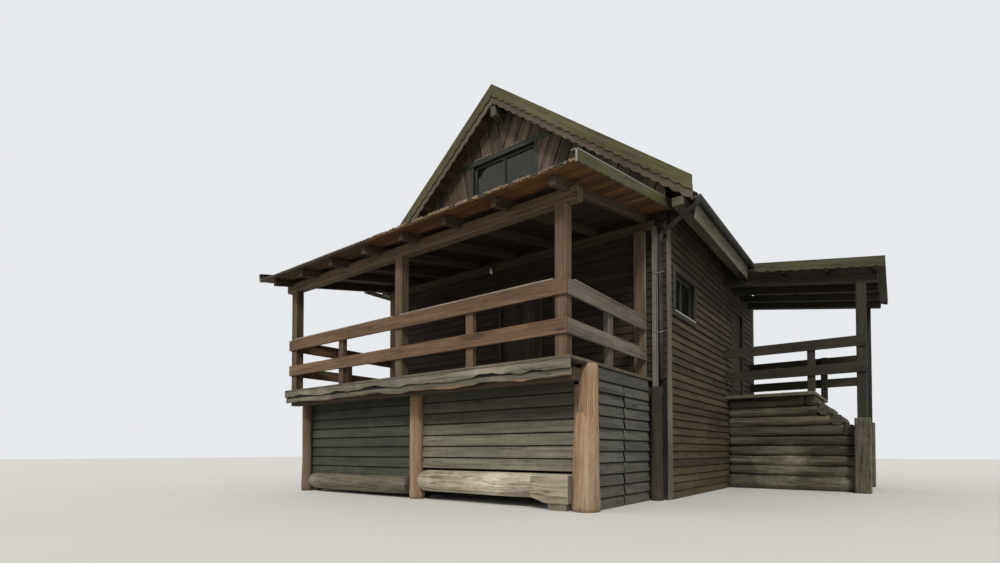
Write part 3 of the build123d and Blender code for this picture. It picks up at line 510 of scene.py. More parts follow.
# Darker copies of the soffit boards, as painted shade at the roof's right end and at its left end
UNDER_SIDE = Wood(
    "side_soffit", (0.045, 0.020, 0.008), (0.118, 0.054, 0.019), (0.21, 0.108, 0.041), 1.0, bleach=0.05,
)
UNDER_LEFT = Wood(
    "left_soffit", (0.030, 0.017, 0.008), (0.080, 0.045, 0.020), (0.15, 0.092, 0.044), 0.9, bleach=0.05,
)
UNDER_DARK = Wood(
    "dark_soffit", (0.030, 0.018, 0.010), (0.075, 0.046, 0.026), (0.125, 0.084, 0.052), 0.5, bleach=0.05,
)
SKIRT = Wood(
    "skirt_boards", (0.036, 0.034, 0.024), (0.078, 0.073, 0.053), (0.130, 0.121, 0.092), 1.3,
    bleach=0.25, soil=0.4, relief=0.0022, lap=0.9,
)
# Darker copy of the skirt boards for the left bay, as painted shade
SKIRT_DARK = Wood(
    "shaded_skirt_boards", (0.017, 0.020, 0.014), (0.038, 0.043, 0.030), (0.066, 0.072, 0.053), 0.35,
    bleach=0.2, soil=0.3, relief=0.0022, lap=0.85,
)
SKIRT_SIDE = Wood(
    "side_skirt_boards", (0.038, 0.038, 0.032), (0.083, 0.083, 0.071), (0.138, 0.138, 0.119), 0.5,
    bleach=0.3, soil=0.3, relief=0.0022, lap=0.92,
)
SKIRT_POST = Wood("skirt_posts", (0.085, 0.060, 0.042), (0.185, 0.136, 0.098), (0.29, 0.225, 0.170), 0.3)
CORNER = Wood(
    "corner_boards", (0.050, 0.045, 0.031), (0.105, 0.096, 0.066), (0.17, 0.157, 0.114), 0.4, bleach=0.3,
)
PALE_BOARD = Wood(
    "pale_upright_board", (0.075, 0.072, 0.057), (0.150, 0.144, 0.117), (0.225, 0.217, 0.18), 0.3, bleach=0.3,
)
# Door planks, set very dark as painted shade under the veranda
DOOR = Wood(
    "door_planks", (0.020, 0.014, 0.009), (0.050, 0.035, 0.023), (0.085, 0.062, 0.044), 0.4, bleach=0.1,
)
# Near-black boards and walls behind the cladding: painted shade in the gaps between boards
SHADOW_BACKING = Wood("painted_shadow_backing", (0.004, 0.004, 0.003), (0.009, 0.008, 0.006), (0.016, 0.014, 0.011), 0.2)
GABLE = Wood(
    "gable_boards", (0.026, 0.019, 0.013), (0.085, 0.062, 0.043), (0.165, 0.128, 0.094), 0.95, bleach=0.3,
)
FASCIA = Wood(
    "mossy_boards", (0.035, 0.034, 0.014), (0.075, 0.070, 0.033), (0.135, 0.126, 0.070), 1.1,
    bleach=0.2, moss=0.75, moss_colour=(0.065, 0.078, 0.016),
)
BARGE = Wood(
    "bargeboards", (0.034, 0.030, 0.014), (0.072, 0.063, 0.031), (0.125, 0.113, 0.064), 0.4,
    bleach=0.25, moss=0.62, moss_colour=(0.082, 0.090, 0.024),
)
INNER_BARGE = Wood(
    "inner_bargeboards", (0.040, 0.030, 0.022), (0.090, 0.068, 0.050), (0.16, 0.128, 0.099), 0.5, bleach=0.25,
)
DECK = Wood(
    "deck_boards", (0.052, 0.044, 0.032), (0.120, 0.101, 0.074), (0.21, 0.183, 0.138), 0.4,
    bleach=0.35, moss=0.25,
)
WANEY = Wood(
    "waney_boards", (0.060, 0.055, 0.041), (0.148, 0.134, 0.102), (0.27, 0.248, 0.196), 0.25,
    cracks=0.7, bleach=0.6, moss=0.3, moss_colour=(0.085, 0.090, 0.040), relief=0.003,
)
# The lower edge board, its top strip darkened by lap as the painted shadow of the upper board
LOW_WANEY = Wood(
    "lower_waney_board", (0.048, 0.044, 0.033), (0.115, 0.104, 0.079), (0.215, 0.197, 0.154), 0.25,
    cracks=0.7, bleach=0.5, moss=0.25, moss_colour=(0.080, 0.085, 0.038), relief=0.003,
    lap=0.95, lap_from=0.66, rim=(0.30, 0.135, 0.045),
)
LOG = Wood(
    "log_posts", (0.165, 0.098, 0.055), (0.290, 0.182, 0.104), (0.43, 0.300, 0.190), 0.9,
    cracks=0.55, knots=1.0, bleach=0.4, bleached=(0.36, 0.30, 0.23), soil=0.5, relief=0.004, fibre_width=20.0,
)
# Darker copy of the log posts for the two rear logs, as painted shade
REAR_LOG = Wood(
    "shaded_log_posts", (0.015, 0.011, 0.008), (0.035, 0.027, 0.019), (0.062, 0.050, 0.037), 0.25,
    cracks=1.0, knots=0.9, bleach=0.2, relief=0.004, fibre_width=22.0,
)
SILL = Wood(
    "sill_logs", (0.105, 0.090, 0.064), (0.250, 0.218, 0.162), (0.42, 0.375, 0.295), 1.15,
    cracks=1.2, knots=0.8, bleach=0.6, bleached=(0.47, 0.425, 0.345), soil=0.4,
    relief=0.006, fibre_width=20.0,
)
CRIB = Wood(
    "crib_logs", (0.028, 0.023, 0.016), (0.076, 0.065, 0.046), (0.160, 0.142, 0.106), 0.7,
    cracks=1.1, knots=0.8, bleach=0.6, bleached=(0.25, 0.235, 0.175), moss=0.25,
    relief=0.008, fibre_width=14.0,
)
PORCH_WOOD = Wood(
    "porch_timber", (0.012, 0.010, 0.007), (0.030, 0.026, 0.017), (0.058, 0.051, 0.036), 0.5, bleach=0.15,
)
PORCH_FASCIA = Wood(
    "porch_fascia", (0.024, 0.023, 0.013), (0.058, 0.056, 0.034), (0.105, 0.101, 0.065), 0.4,
    bleach=0.2, moss=0.4,
)
PAINTED = Wood(
    "green_window_paint", (0.014, 0.018, 0.014), (0.030, 0.037, 0.029), (0.058, 0.068, 0.056), 0.3,
    cracks=0.3, knots=0.2, bleach=0.15, relief=0.0008,
)
SIDE_TRIM = Wood(
    "brown_window_trim", (0.024, 0.020, 0.015), (0.056, 0.049, 0.038), (0.098, 0.088, 0.071), 0.4, bleach=0.2,
)
SILL_METAL = PlainMetal("sill_flashing", (0.50, 0.51, 0.46), (0.32, 0.32, 0.27), 0.5)
SHEET = RoofSheet("roof_sheet", (0.175, 0.18, 0.165), (0.115, 0.115, 0.10), (0.36, 0.38, 0.32))
LOW_SHEET = RoofSheet("veranda_sheet", (0.165, 0.165, 0.15), (0.11, 0.105, 0.085), (0.38, 0.40, 0.33), 0.5)
BLACK = PlainMetal("black_gutter", (0.016, 0.015, 0.013), (0.055, 0.050, 0.034), 0.52)
ZINC = PlainMetal("zinc_flashing", (0.25, 0.25, 0.215), (0.15, 0.15, 0.11), 0.5, 0.3)
GREY_PIPE = PlainMetal("grey_pipe", (0.135, 0.120, 0.122), (0.09, 0.082, 0.078), 0.5)
CLAMP = PlainMetal("pipe_clamps", (0.30, 0.30, 0.29), (0.18, 0.17, 0.15), 0.45, 0.5)
GLASS = Pane("window_glass", (0.004, 0.006, 0.004), (0.022, 0.028, 0.017))
LITTER = PlainMetal("roof_litter", (0.28, 0.20, 0.13), (0.62, 0.52, 0.38), 0.9)
LAMP = Lamp("lamp_glass", (0.80, 0.79, 0.74), (0.5, 0.5, 0.46))


class Finishes:
    """Every finish, made once."""

    def __init__(self) -> None:
        """Start with none made."""
        self.made: dict[str, bpy.types.Material] = {}

    def get(self, finish: Finish) -> bpy.types.Material:
        """Give the material of a finish, made at its first use.

        Args:
            finish: the finish.

        Returns:
            Its material.
        """
        if finish.name not in self.made:
            self.made[finish.name] = finish.build()
        return self.made[finish.name]


FINISHES = Finishes()

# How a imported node's triangles are joined again
MERGE_DISTANCE = 0.00002
FLAT_ANGLE = math.radians(0.6)

# How finely timbers, shaped edges and logs are divided, and how far up a shaped edge reaches
TIMBER_STEP = 0.45
PROFILE_STEP = 0.02
PROFILE_REACH = 0.07
RING_STEP = 0.07
WORN_RIM = 0.010

# The smallest piece of a board that is kept, and the shortest board at a wall's end
SHORTEST = 0.02
NARROWEST = 0.008
LEAST_END = 0.35


@dataclass(frozen=True)
class Box:
    """Lowest and highest corner of one solid, in metres."""

    low: Vector
    high: Vector

    @property
    def size(self) -> Vector:
        """Extents along the three axes."""
        return self.high - self.low

    @property
    def middle(self) -> Vector:
        """Centre."""
        return (self.low + self.high) / 2


def flood(start: bmesh.types.BMFace) -> Faces:
    """Collect and tag the faces that hang together with one.

    Args:
        start: any face of the island.

    Returns:
        The island's faces.
    """
    seen = {start}
    island = [start]
    for face in island:
        face.tag = True
        for edge in face.edges:
            for other in edge.link_faces:
                if other not in seen:
                    seen.add(other)
                    island.append(other)
    return island


def merged_copy(name: str) -> Mesh:
    """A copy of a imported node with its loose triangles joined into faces.

    Args:
        name: the node.

    Returns:
        The copy.
    """
    copy = bmesh.new()
    copy.from_mesh(frame["nodes"][name].data)
    bmesh.ops.remove_doubles(copy, verts=copy.verts, dist=MERGE_DISTANCE)
    bmesh.ops.dissolve_limit(copy, angle_limit=FLAT_ANGLE, verts=copy.verts, edges=copy.edges)
    return copy


def solid_boxes(name: str) -> list[Box]:
    """The boxes of a node's separate solids, from left to right.

    Args:
        name: the node.

    Returns:
        One box for each solid.
    """
    copy = merged_copy(name)
    boxes = []
    for face in copy.faces:
        if face.tag:
            continue
        points = [vert.co for part in flood(face) for vert in part.verts]
        low = Vector(min(point[axis] for point in points) for axis in range(3))
        high = Vector(max(point[axis] for point in points) for axis in range(3))
        boxes.append(Box(low, high))
    copy.free()
    return sorted(boxes, key=lambda box: (round(box.low.x, 3), round(box.low.y, 3), box.low.z))


def divided(mesh: Mesh, edges: Sequence[bmesh.types.BMEdge], cuts: int) -> bmesh.types.BMFace:
    """Divide the long edges of a bar.

    Args:
        mesh: the mesh.
        edges: the bar's long edges.
        cuts: how often each is divided.

    Returns:
        One of the bar's faces.
    """
    made = bmesh.ops.subdivide_edges(mesh, edges=edges, cuts=cuts, use_grid_fill=True)
    edge = next(item for item in made["geom_inner"] if isinstance(item, bmesh.types.BMEdge))
    return edge.link_faces[0]


def axes(along: Vector, out: Vector, origin: Vector) -> Matrix:
    """A place for a board.

    Args:
        along: the way its length runs.
        out: the way its broad face looks.
        origin: its first corner or middle.

    Returns:
        The matrix whose x is the length, y the width and z the thickness.
    """
    x = along.normalized()
    z = (out - x * out.dot(x)).normalized()
    y = z.cross(x)
    turn = Matrix((x, y, z)).transposed().to_4x4()
    turn.translation = origin
    return turn


def blended(values: Sequence[float], share: float) -> float:
    """A smooth run through a list of values.

    Args:
        values: the values at even steps.
        share: how far through the list, from 0 to 1.

    Returns:
        The value there.
    """
    step = share * (len(values) - 1)
    index = min(int(step), len(values) - 2)
    blend = step - index
    blend = blend * blend * (3 - 2 * blend)
    return values[index] * (1 - blend) + values[index + 1] * blend


class Timberwork:
    """Boards, timbers and logs gathered into one mesh, each with its own grain and tone."""

    def __init__(self, name: str, seed: int) -> None:
        """Start an empty piece.

        Args:
            name: the piece's name.
            seed: start of its random numbers.
        """
        self.name = name
        self.random = random.Random(seed)
        self.mesh = bmesh.new()
        for layer in ("grain", "board"):
            self.mesh.loops.layers.uv.new(layer)
        for layer in ("tone", "end_grain", "worn"):
            self.mesh.faces.layers.float.new(layer)
        self._find_layers()

    def _find_layers(self) -> None:
        """Look the layers up, as adding a mesh moves them."""
        self.grain = self.mesh.loops.layers.uv["grain"]
        self.share = self.mesh.loops.layers.uv["board"]
        layers = self.mesh.faces.layers.float
        self.tone, self.end, self.worn = layers["tone"], layers["end_grain"], layers["worn"]

    def take(self, mesh: Mesh) -> None:
        """Add the faces of another mesh, which ends with this.

        Args:
            mesh: the other mesh.
        """
        held = bpy.data.meshes.new("held")
        mesh.to_mesh(held)
        mesh.free()
        self.mesh.from_mesh(held)
        bpy.data.meshes.remove(held)
        self._find_layers()

    def _lay_grain(self, faces: Faces, along: Vector, out: Vector, tone: Optional[float]) -> None:
        """Give an island its grain.

        Args:
            faces: the island.
            along: the way the fibres run.
            out: the way the broad face looks.
            tone: how light it is, from 0 to 1, or None for chance.
        """
        broad = out.cross(along).normalized()
        shift = self.random.uniform(0, 40)
        side = self.random.uniform(0, 40)
        shade = self.random.random() if tone is None else tone + self.random.uniform(-0.1, 0.1)
        spread = [loop.vert.co.dot(broad) for face in faces for loop in face.loops]
        low, width = min(spread), max(max(spread) - min(spread), 0.001)
        for face in faces:
            face.normal_update()
            ends = abs(face.normal.dot(along)) > 0.8
            edge = abs(face.normal.dot(broad)) > abs(face.normal.dot(out))
            face[self.tone] = shade
            face[self.end] = 1.0 if ends else 0.0
            for loop in face.loops:
                point = loop.vert.co
                wide, thick = point.dot(broad), point.dot(out)
                loop[self.share].uv = (point.dot(along), (wide - low) / width)
                if ends:
                    loop[self.grain].uv = (wide + shift, thick + side)
                else:
                    loop[self.grain].uv = (point.dot(along) + shift, (thick + 3.0 if edge else wide) + side)

    def _soften(self, island: Faces, bevel: float) -> Faces:
        """Round the sharp edges of an island.

        Args:
            island: its faces.
            bevel: the width of the rounding.

        Returns:
            The island's faces afterwards.
        """
        edges = {edge for face in island for edge in face.edges}
        sharp = [edge for edge in edges if len(edge.link_faces) == 2 and edge.calc_face_angle(0.0) > 0.4]
        made = bmesh.ops.bevel(
            self.mesh, geom=sharp, offset=bevel, segments=1, profile=0.5,
            affect="EDGES", material=-1, clamp_overlap=True,
        )
        for face in made["faces"]:
            face[self.worn] = 1.0
        return flood(made["faces"][0]) if made["faces"] else island

    def board(self, place: Matrix, size: Sequence[float], bevel: float = 0.003, cuts: int = 0,
              sway: float = 0.0, tone: Optional[float] = None, edge: Optional[Profile] = None) -> Verts:
        """Add one straight piece, from its first corner.

        Args:
            place: where its corner lies and how it is turned.
            size: length, width and thickness.
            bevel: rounding of its edges.
            cuts: how often it is divided along its length.
            sway: how far it wanders from straight.
            tone: how light it is, or None for chance.
            edge: how far its lower edge moves up at each point of its length.

        Returns:
            Its vertices.
        """
        length, width, thickness = size
        made = bmesh.ops.create_cube(self.mesh, size=1.0)
        verts = made["verts"]
        for vert in verts:
            x, y, z = (part + 0.5 for part in vert.co)
            vert.co = (x * length, y * width, z * thickness)
        start = verts[0].link_faces[0]
        if cuts:
            edges = {line for vert in verts for line in vert.link_edges}
            lengthwise = [
                line for line in edges if abs(line.verts[0].co.x - line.verts[1].co.x) > length * 0.9
            ]
            start = divided(self.mesh, lengthwise, cuts)
        island = flood(start)
        if bevel > 0:
            island = self._soften(island, bevel)
        verts = list({vert for face in island for vert in face.verts})
        seed = self.random.uniform(0, 500)
        for vert in verts:
            x = vert.co.x
            if sway:
                vert.co.y += sway * noise.noise(Vector((x * 0.8, seed, 0.0)))
                vert.co.z += sway * noise.noise(Vector((x * 0.8, 0.0, seed)))
            if edge and vert.co.y < width * 0.5:
                vert.co.y += edge(x)
        self._lay_grain(island, RIGHT, UP, tone)
        bmesh.ops.transform(self.mesh, matrix=place, verts=verts)
        return verts

    def cut(self, verts: Verts, point: Vector, normal: Vector) -> Verts:
        """Saw off what lies beyond a plane and close the ends.

        Args:
            verts: the vertices of the pieces to be sawn.
            point: a point of the plane.
            normal: the way to the part that goes.

        Returns:
            The vertices that are left.
        """
        geom = list({item for vert in verts for item in (vert, *vert.link_edges, *vert.link_faces)})
        made = bmesh.ops.bisect_plane(self.mesh, geom=geom, plane_co=point, plane_no=normal, clear_outer=True)
        rim = [item for item in made["geom_cut"] if isinstance(item, bmesh.types.BMEdge)]
        for face in bmesh.ops.holes_fill(self.mesh, edges=rim)["faces"]:
            face[self.end] = 1.0
        left = (*made["geom"], *made["geom_cut"])
        return [item for item in left if item.is_valid and isinstance(item, bmesh.types.BMVert)]

    def timber(self, box: Box, bevel: float = 0.006, sway: float = 0.003,
               tone: Optional[float] = None) -> Verts:
        """Add a squared timber that fills a box, its grain along the longest side.

        Args:
            box: the box.
            bevel: rounding of its edges.
            sway: how far it wanders from straight.
            tone: how light it is, or None for chance.

        Returns:
            Its vertices.
        """
        size = box.size
        order = sorted(range(3), key=lambda axis: -size[axis])
        along, out = Vector(), Vector()
        along[order[0]] = 1.0
        out[order[2]] = 1.0
        turn = axes(along, out, Vector())
        wide = turn.to_3x3().col[1]
        corner = Vector(box.low)
        if wide[order[1]] < 0:
            corner[order[1]] = box.high[order[1]]
        turn.translation = corner
        sides = [size[axis] for axis in order]
        return self.board(turn, sides, bevel, int(sides[0] / TIMBER_STEP), sway, tone)

    def node(self, name: str, bevel: float = 0.005, wanted: Optional[Region] = None,
             edge: Optional[Profile] = None) -> None:
        """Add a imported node's own solids, with rounded edges and grain along their longest edge.

        Args:
            name: the node.
            bevel: rounding of the edges.
            wanted: tells by its middle whether a solid is added.
            edge: how far their lower edges move up at each point of their length.
        """
        self.take(merged_copy(name))
        islands = []
        for face in self.mesh.faces:
            face.smooth = False
            if not face.tag:
                islands.append(flood(face))
        for island in islands:
            middle = sum((face.calc_center_median() for face in island), Vector()) / len(island)
            if wanted and not wanted(middle):
                bmesh.ops.delete(self.mesh, geom=island, context="FACES")
                continue
            lines = [line for face in island for line in face.edges]
            longest = max(lines, key=lambda line: line.calc_length())
            length = longest.calc_length()
            along = (longest.verts[1].co - longest.verts[0].co).normalized()
            flat = [face for face in island if abs(face.normal.dot(along)) < 0.3]
            broad = max(flat or island, key=lambda face: face.calc_area())
            out = broad.normal.copy()
            if edge:
                lengthwise = {line for line in lines if line.calc_length() > 0.9 * length}
                island = flood(divided(self.mesh, list(lengthwise), int(length / PROFILE_STEP)))
            faces = self._soften(island, bevel)
            if edge:
                verts = {vert for face in faces for vert in face.verts}
                low = min(vert.co.z - vert.co.dot(along) * along.z for vert in verts)
                for vert in verts:
                    if vert.co.z - vert.co.dot(along) * along.z < low + PROFILE_REACH:
                        vert.co.z += edge(vert.co.dot(along))
            self._lay_grain(faces, along, (out - along * out.dot(along)).normalized(), None)

    def log(self, foot: Vector, top: Vector, radii: Sequence[float], rough: float = 0.006, sides: int = 28,
            flats: Optional[tuple[float, float]] = None, tone: Optional[float] = None) -> None:
        """Add a round log.

        Args:
            foot: middle of its first end.
            top: middle of its other end.
            radii: its radius at even steps from foot to top.
            rough: how far its surface wanders.
            sides: how many faces go round.
            flats: how far the hewn lower and upper faces lie from the middle, if it has any.
            tone: how light it is, or None for chance.
        """
        line = top - foot
        length = line.length
        made = bmesh.ops.create_cone(
            self.mesh, cap_ends=True, cap_tris=False, segments=sides, radius1=1.0, radius2=1.0, depth=length,
        )
        uprights = [
            edge for edge in {edge for vert in made["verts"] for edge in vert.link_edges}
            if abs(edge.verts[0].co.z - edge.verts[1].co.z) > length * 0.5
        ]
        island = flood(divided(self.mesh, uprights, max(6, int(length / RING_STEP))))
        verts = {vert for face in island for vert in face.verts}
        seed = self.random.uniform(0, 300)
        for vert in verts:
            share = min(max(vert.co.z / length + 0.5, 0.0), 1.0)
            angle = math.atan2(vert.co.y, vert.co.x)
            x, y, z = math.cos(angle), math.sin(angle), vert.co.z
            ripple = noise.noise(Vector((x * 1.6, y * 1.6, z * 1.2 + seed)))
            grain = noise.noise(Vector((x * 5.0, y * 5.0, z * 2.3 + seed)))
            radius = blended(radii, share) + rough * (ripple * 1.2 + grain * 0.6)
            radius -= max(0.0, WORN_RIM - min(share, 1 - share) * length * 0.5)
            x, y = x * radius, y * radius
            if flats:
                y = max(flats[0], min(flats[1], y)) + rough * 0.25 * grain
            vert.co.x, vert.co.y = x, y
        self._wrap_grain(island, sum(radii) / len(radii), tone)
        side = UP if abs(line.normalized().z) < 0.5 else -BACK
        place = axes(side.cross(line), line, (foot + top) / 2)
        bmesh.ops.transform(self.mesh, matrix=place, verts=list(verts))

    def _wrap_grain(self, faces: Faces, girth: float, tone: Optional[float]) -> None:
        """Wrap the grain round an upright log.

        Args:
            faces: its faces.
            girth: its middle radius.
            tone: how light it is, or None for chance.
        """
        shift = self.random.uniform(0, 40)
        shade = self.random.random() if tone is None else tone
        for face in faces:
            face.normal_update()
            ends = abs(face.normal.z) > 0.8
            face[self.tone] = shade
            face[self.end] = 1.0 if ends else 0.0
            face.smooth = not ends
            middle = math.atan2(face.calc_center_median().y, face.calc_center_median().x)
            for loop in face.loops:
                point = loop.vert.co
                angle = math.atan2(point.y, point.x)
                if angle - middle > math.pi:
                    angle -= 2 * math.pi
                if angle - middle < -math.pi:
                    angle += 2 * math.pi
                flat = (point.x, point.y) if ends else (point.z, angle * girth)
                loop[self.grain].uv = (flat[0] + shift, flat[1] + shift)

    def finish(self, finish: Finish, slot: Slot, *nodes: str) -> None:
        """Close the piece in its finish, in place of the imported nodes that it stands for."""
        settle(self.name, self.mesh, finish, slot, *nodes)


def settle(name: str, mesh: Mesh, finish: Finish, slot: Slot, *nodes: str) -> None:
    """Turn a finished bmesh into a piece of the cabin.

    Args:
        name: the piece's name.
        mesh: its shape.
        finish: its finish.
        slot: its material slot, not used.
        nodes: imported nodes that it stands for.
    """
    data = bpy.data.meshes.new(name)
    mesh.to_mesh(data)
    mesh.free()
    data.materials.append(FINISHES.get(finish))
    piece = bpy.data.objects.new(name, data)
    bpy.context.scene.collection.objects.link(piece)
    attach(piece, BODY)
    if nodes:
        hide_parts(*nodes)
    triangles = sum(len(polygon.vertices) - 2 for polygon in data.polygons)
    log.info("%s: %d triangles", name, triangles)


def coat(name: str, finish: Finish) -> None:
    """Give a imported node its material.

    Args:
        name: the node.
        finish: its finish.
    """
    node = frame["nodes"][name]
    node.data.materials.clear()
    node.data.materials.append(FINISHES.get(finish))


def tube(mesh: Mesh, points: Sequence[Vector], radius: float, sides: int = 20) -> None:
    """Add a closed round pipe along a line of points.

    Args:
        mesh: the mesh that it joins.
        points: its middle line.
        radius: its radius.
        sides: how many faces go round.
    """
    loops = []
    for index, point in enumerate(points):
        before = points[max(index - 1, 0)]
        after = points[min(index + 1, len(points) - 1)]
        turn = (after - before).to_track_quat("Z", "Y").to_matrix().to_4x4()
        turn.translation = point
        ends = index in (0, len(points) - 1)
        made = bmesh.ops.create_circle(mesh, cap_ends=ends, segments=sides, radius=radius, matrix=turn)
        verts = set(made["verts"])
        loops.append([edge for vert in verts for edge in vert.link_edges if set(edge.verts) <= verts])
    for lower, upper in zip(loops, loops[1:]):
        made = bmesh.ops.bridge_loops(mesh, edges=list(set(lower) | set(upper)))
        for face in made["faces"]:
            face.smooth = True


def rounded(points: Sequence[Vector], reach: float, steps: int = 6) -> list[Vector]:
    """Round the corners of a line.

    Args:
        points: its corners.
        reach: how far from a corner the bend starts.
        steps: points in each bend.

    Returns:
        The line's points.
    """
    line = [points[0]]
    for before, corner, after in zip(points, points[1:], points[2:]):
        start = corner + (before - corner).normalized() * min(reach, (before - corner).length * 0.45)
        end = corner + (after - corner).normalized() * min(reach, (after - corner).length * 0.45)
        for step in range(steps + 1):
            share = step / steps
            line.append(start.lerp(corner, share).lerp(corner.lerp(end, share), share))
    line.append(points[-1])
    return line


def around(spans: Iterable[Span], openings: Iterable[Span]) -> list[Span]:
    """Cut boards where they cross an opening.

    Args:
        spans: start, end, low and high side of each board.
        openings: the same of each opening.

    Returns:
        What is left of the boards.
    """
    left_over = list(spans)
    for left, right, bottom, top in openings:
        cut = []
        for start, end, low, high in left_over:
            if end <= left or start >= right or high <= bottom or low >= top:
                cut.append((start, end, low, high))
                continue
            inner = (max(start, left), min(end, right))
            cut += [(start, left, low, high)] if start < left else []
            cut += [(right, end, low, high)] if end > right else []
            cut += [(*inner, low, bottom)] if low < bottom else []
            cut += [(*inner, top, high)] if high > top else []
        left_over = cut
    return [
        (start, end, low, high) for start, end, low, high in left_over
        if end - start > SHORTEST and high - low > NARROWEST
    ]


def lengths(work: Timberwork, total: float, longest: float) -> list[tuple[float, float]]:
    """Divide a run into boards of uneven length.

    Args:
        work: the piece whose random numbers are used.
        total: the run.
        longest: the longest board.

    Returns:
        Start and end of each board.
    """
    joints = [0.0]
    step = work.random.uniform(0.3, 1.0) * longest
    while joints[-1] + step < total - LEAST_END:
        joints.append(joints[-1] + step)
        step = work.random.uniform(0.7, 1.0) * longest
    joints.append(total)
    return list(zip(joints, joints[1:]))


@dataclass(frozen=True)
class Cladding:
    """Horizontal boards on one wall, each lapping the one below it."""

    name: str
    origin: Vector
    out: Vector
    length: float
    height: float
    rows: int
    finish: Finish
    slot: Slot
    seed: int
    openings: tuple[Span, ...] = ()
    longest: float = 3.9
    butt: float = 0.028
    tip: float = 0.005
    proud: float = 0.0025
    thickness: float = 0.016
    loose: float = 0.004
    tones: tuple[float, ...] = ()
    ragged: tuple[float, float] = (0.0, 0.0)
    last_row: float = 0.0
    backing: float = 0.0
    backing_gap: float = 0.012
    joint: float = 0.003
    overlap: float = 0.002
    cut_step: float = 0.5
    nodes: tuple[str, ...] = ()

    def build(self) -> None:
        """Lay the boards and what lies behind them."""
        work = Timberwork(self.name, self.seed)
        along = UP.cross(self.out)
        exposure = (self.height - self.last_row) / self.rows
        lean = (UP * exposure + self.out * (self.tip - self.butt)).normalized()
        for row in range(self.rows + (1 if self.last_row else 0)):
            low, high = row * exposure, min((row + 1) * exposure, self.height)
            if row == self.rows:
                high = self.height
            tone = self.tones[row] if row < len(self.tones) else None
            boards = [(start, end, low, high) for start, end in lengths(work, self.length, self.longest)]
            for start, end, below, above in around(boards, self.openings):
                face = self.butt + (self.tip - self.butt) * (below - low) / exposure + self.proud
                face += work.random.uniform(0.0, self.loose) - self.thickness
                start += work.random.uniform(0.35, 1.0) * self.ragged[0]
                end -= work.random.uniform(0.35, 1.0) * self.ragged[1]
                foot = self.origin + along * (start + self.joint / 2) + UP * below + self.out * face
                size = (end - start - self.joint, above - below + self.overlap, self.thickness)
                cuts = max(1, int((end - start) / self.cut_step))
                work.board(axes(along, along.cross(lean), foot), size, 0.002, cuts, 0.0025, tone)
        # Near-black boards behind the cladding paint the shade in its gaps
        if self.backing:
            behind = Timberwork(self.name + "_backing", self.seed + 500)
            for start, end, low, high in around([(0.0, self.length, 0.0, self.height)], self.openings):
                corner = self.origin + along * start + UP * low - self.out * self.backing
                size = (end - start, high - low, self.backing - self.backing_gap)
                behind.board(axes(along, self.out, corner), size, 0.0)
            behind.finish(SHADOW_BACKING, self.slot)
        work.finish(self.finish, self.slot, *self.nodes)


@dataclass(frozen=True)
class Boarding:
    """Boards side by side on a flat or sloping bed, as of a floor, a roof or a ceiling."""

    name: str
    place: Matrix
    length: float
    run: float
    width: float
    thickness: float
    finish: Finish
    slot: Slot
    seed: int
    nodes: tuple[str, ...] = ()
    gap: float = 0.004
    longest: float = 3.6
    bevel: float = 0.002
    joint: float = 0.002
    cut_step: float = 0.6

    def lay(self, work: Timberwork) -> None:
        """Add the boards to a piece.

        Args:
            work: the piece.
        """
        count = max(1, round(self.run / self.width))
        pitch = self.run / count
        for row in range(count):
            for start, end in lengths(work, self.length, self.longest):
                corner = Matrix.Translation((start + self.joint / 2, row * pitch + self.gap / 2, 0.0))
                thickness = self.thickness - work.random.uniform(0, 0.0015)
                size = (end - start - self.joint, pitch - self.gap, thickness)
                cuts = max(1, int((end - start) / self.cut_step))
                work.board(self.place @ corner, size, self.bevel, cuts, 0.002)

    def build(self) -> None:
        """Lay the boards as a piece of their own."""
        work = Timberwork(self.name, self.seed)
        self.lay(work)
        work.finish(self.finish, self.slot, *self.nodes)


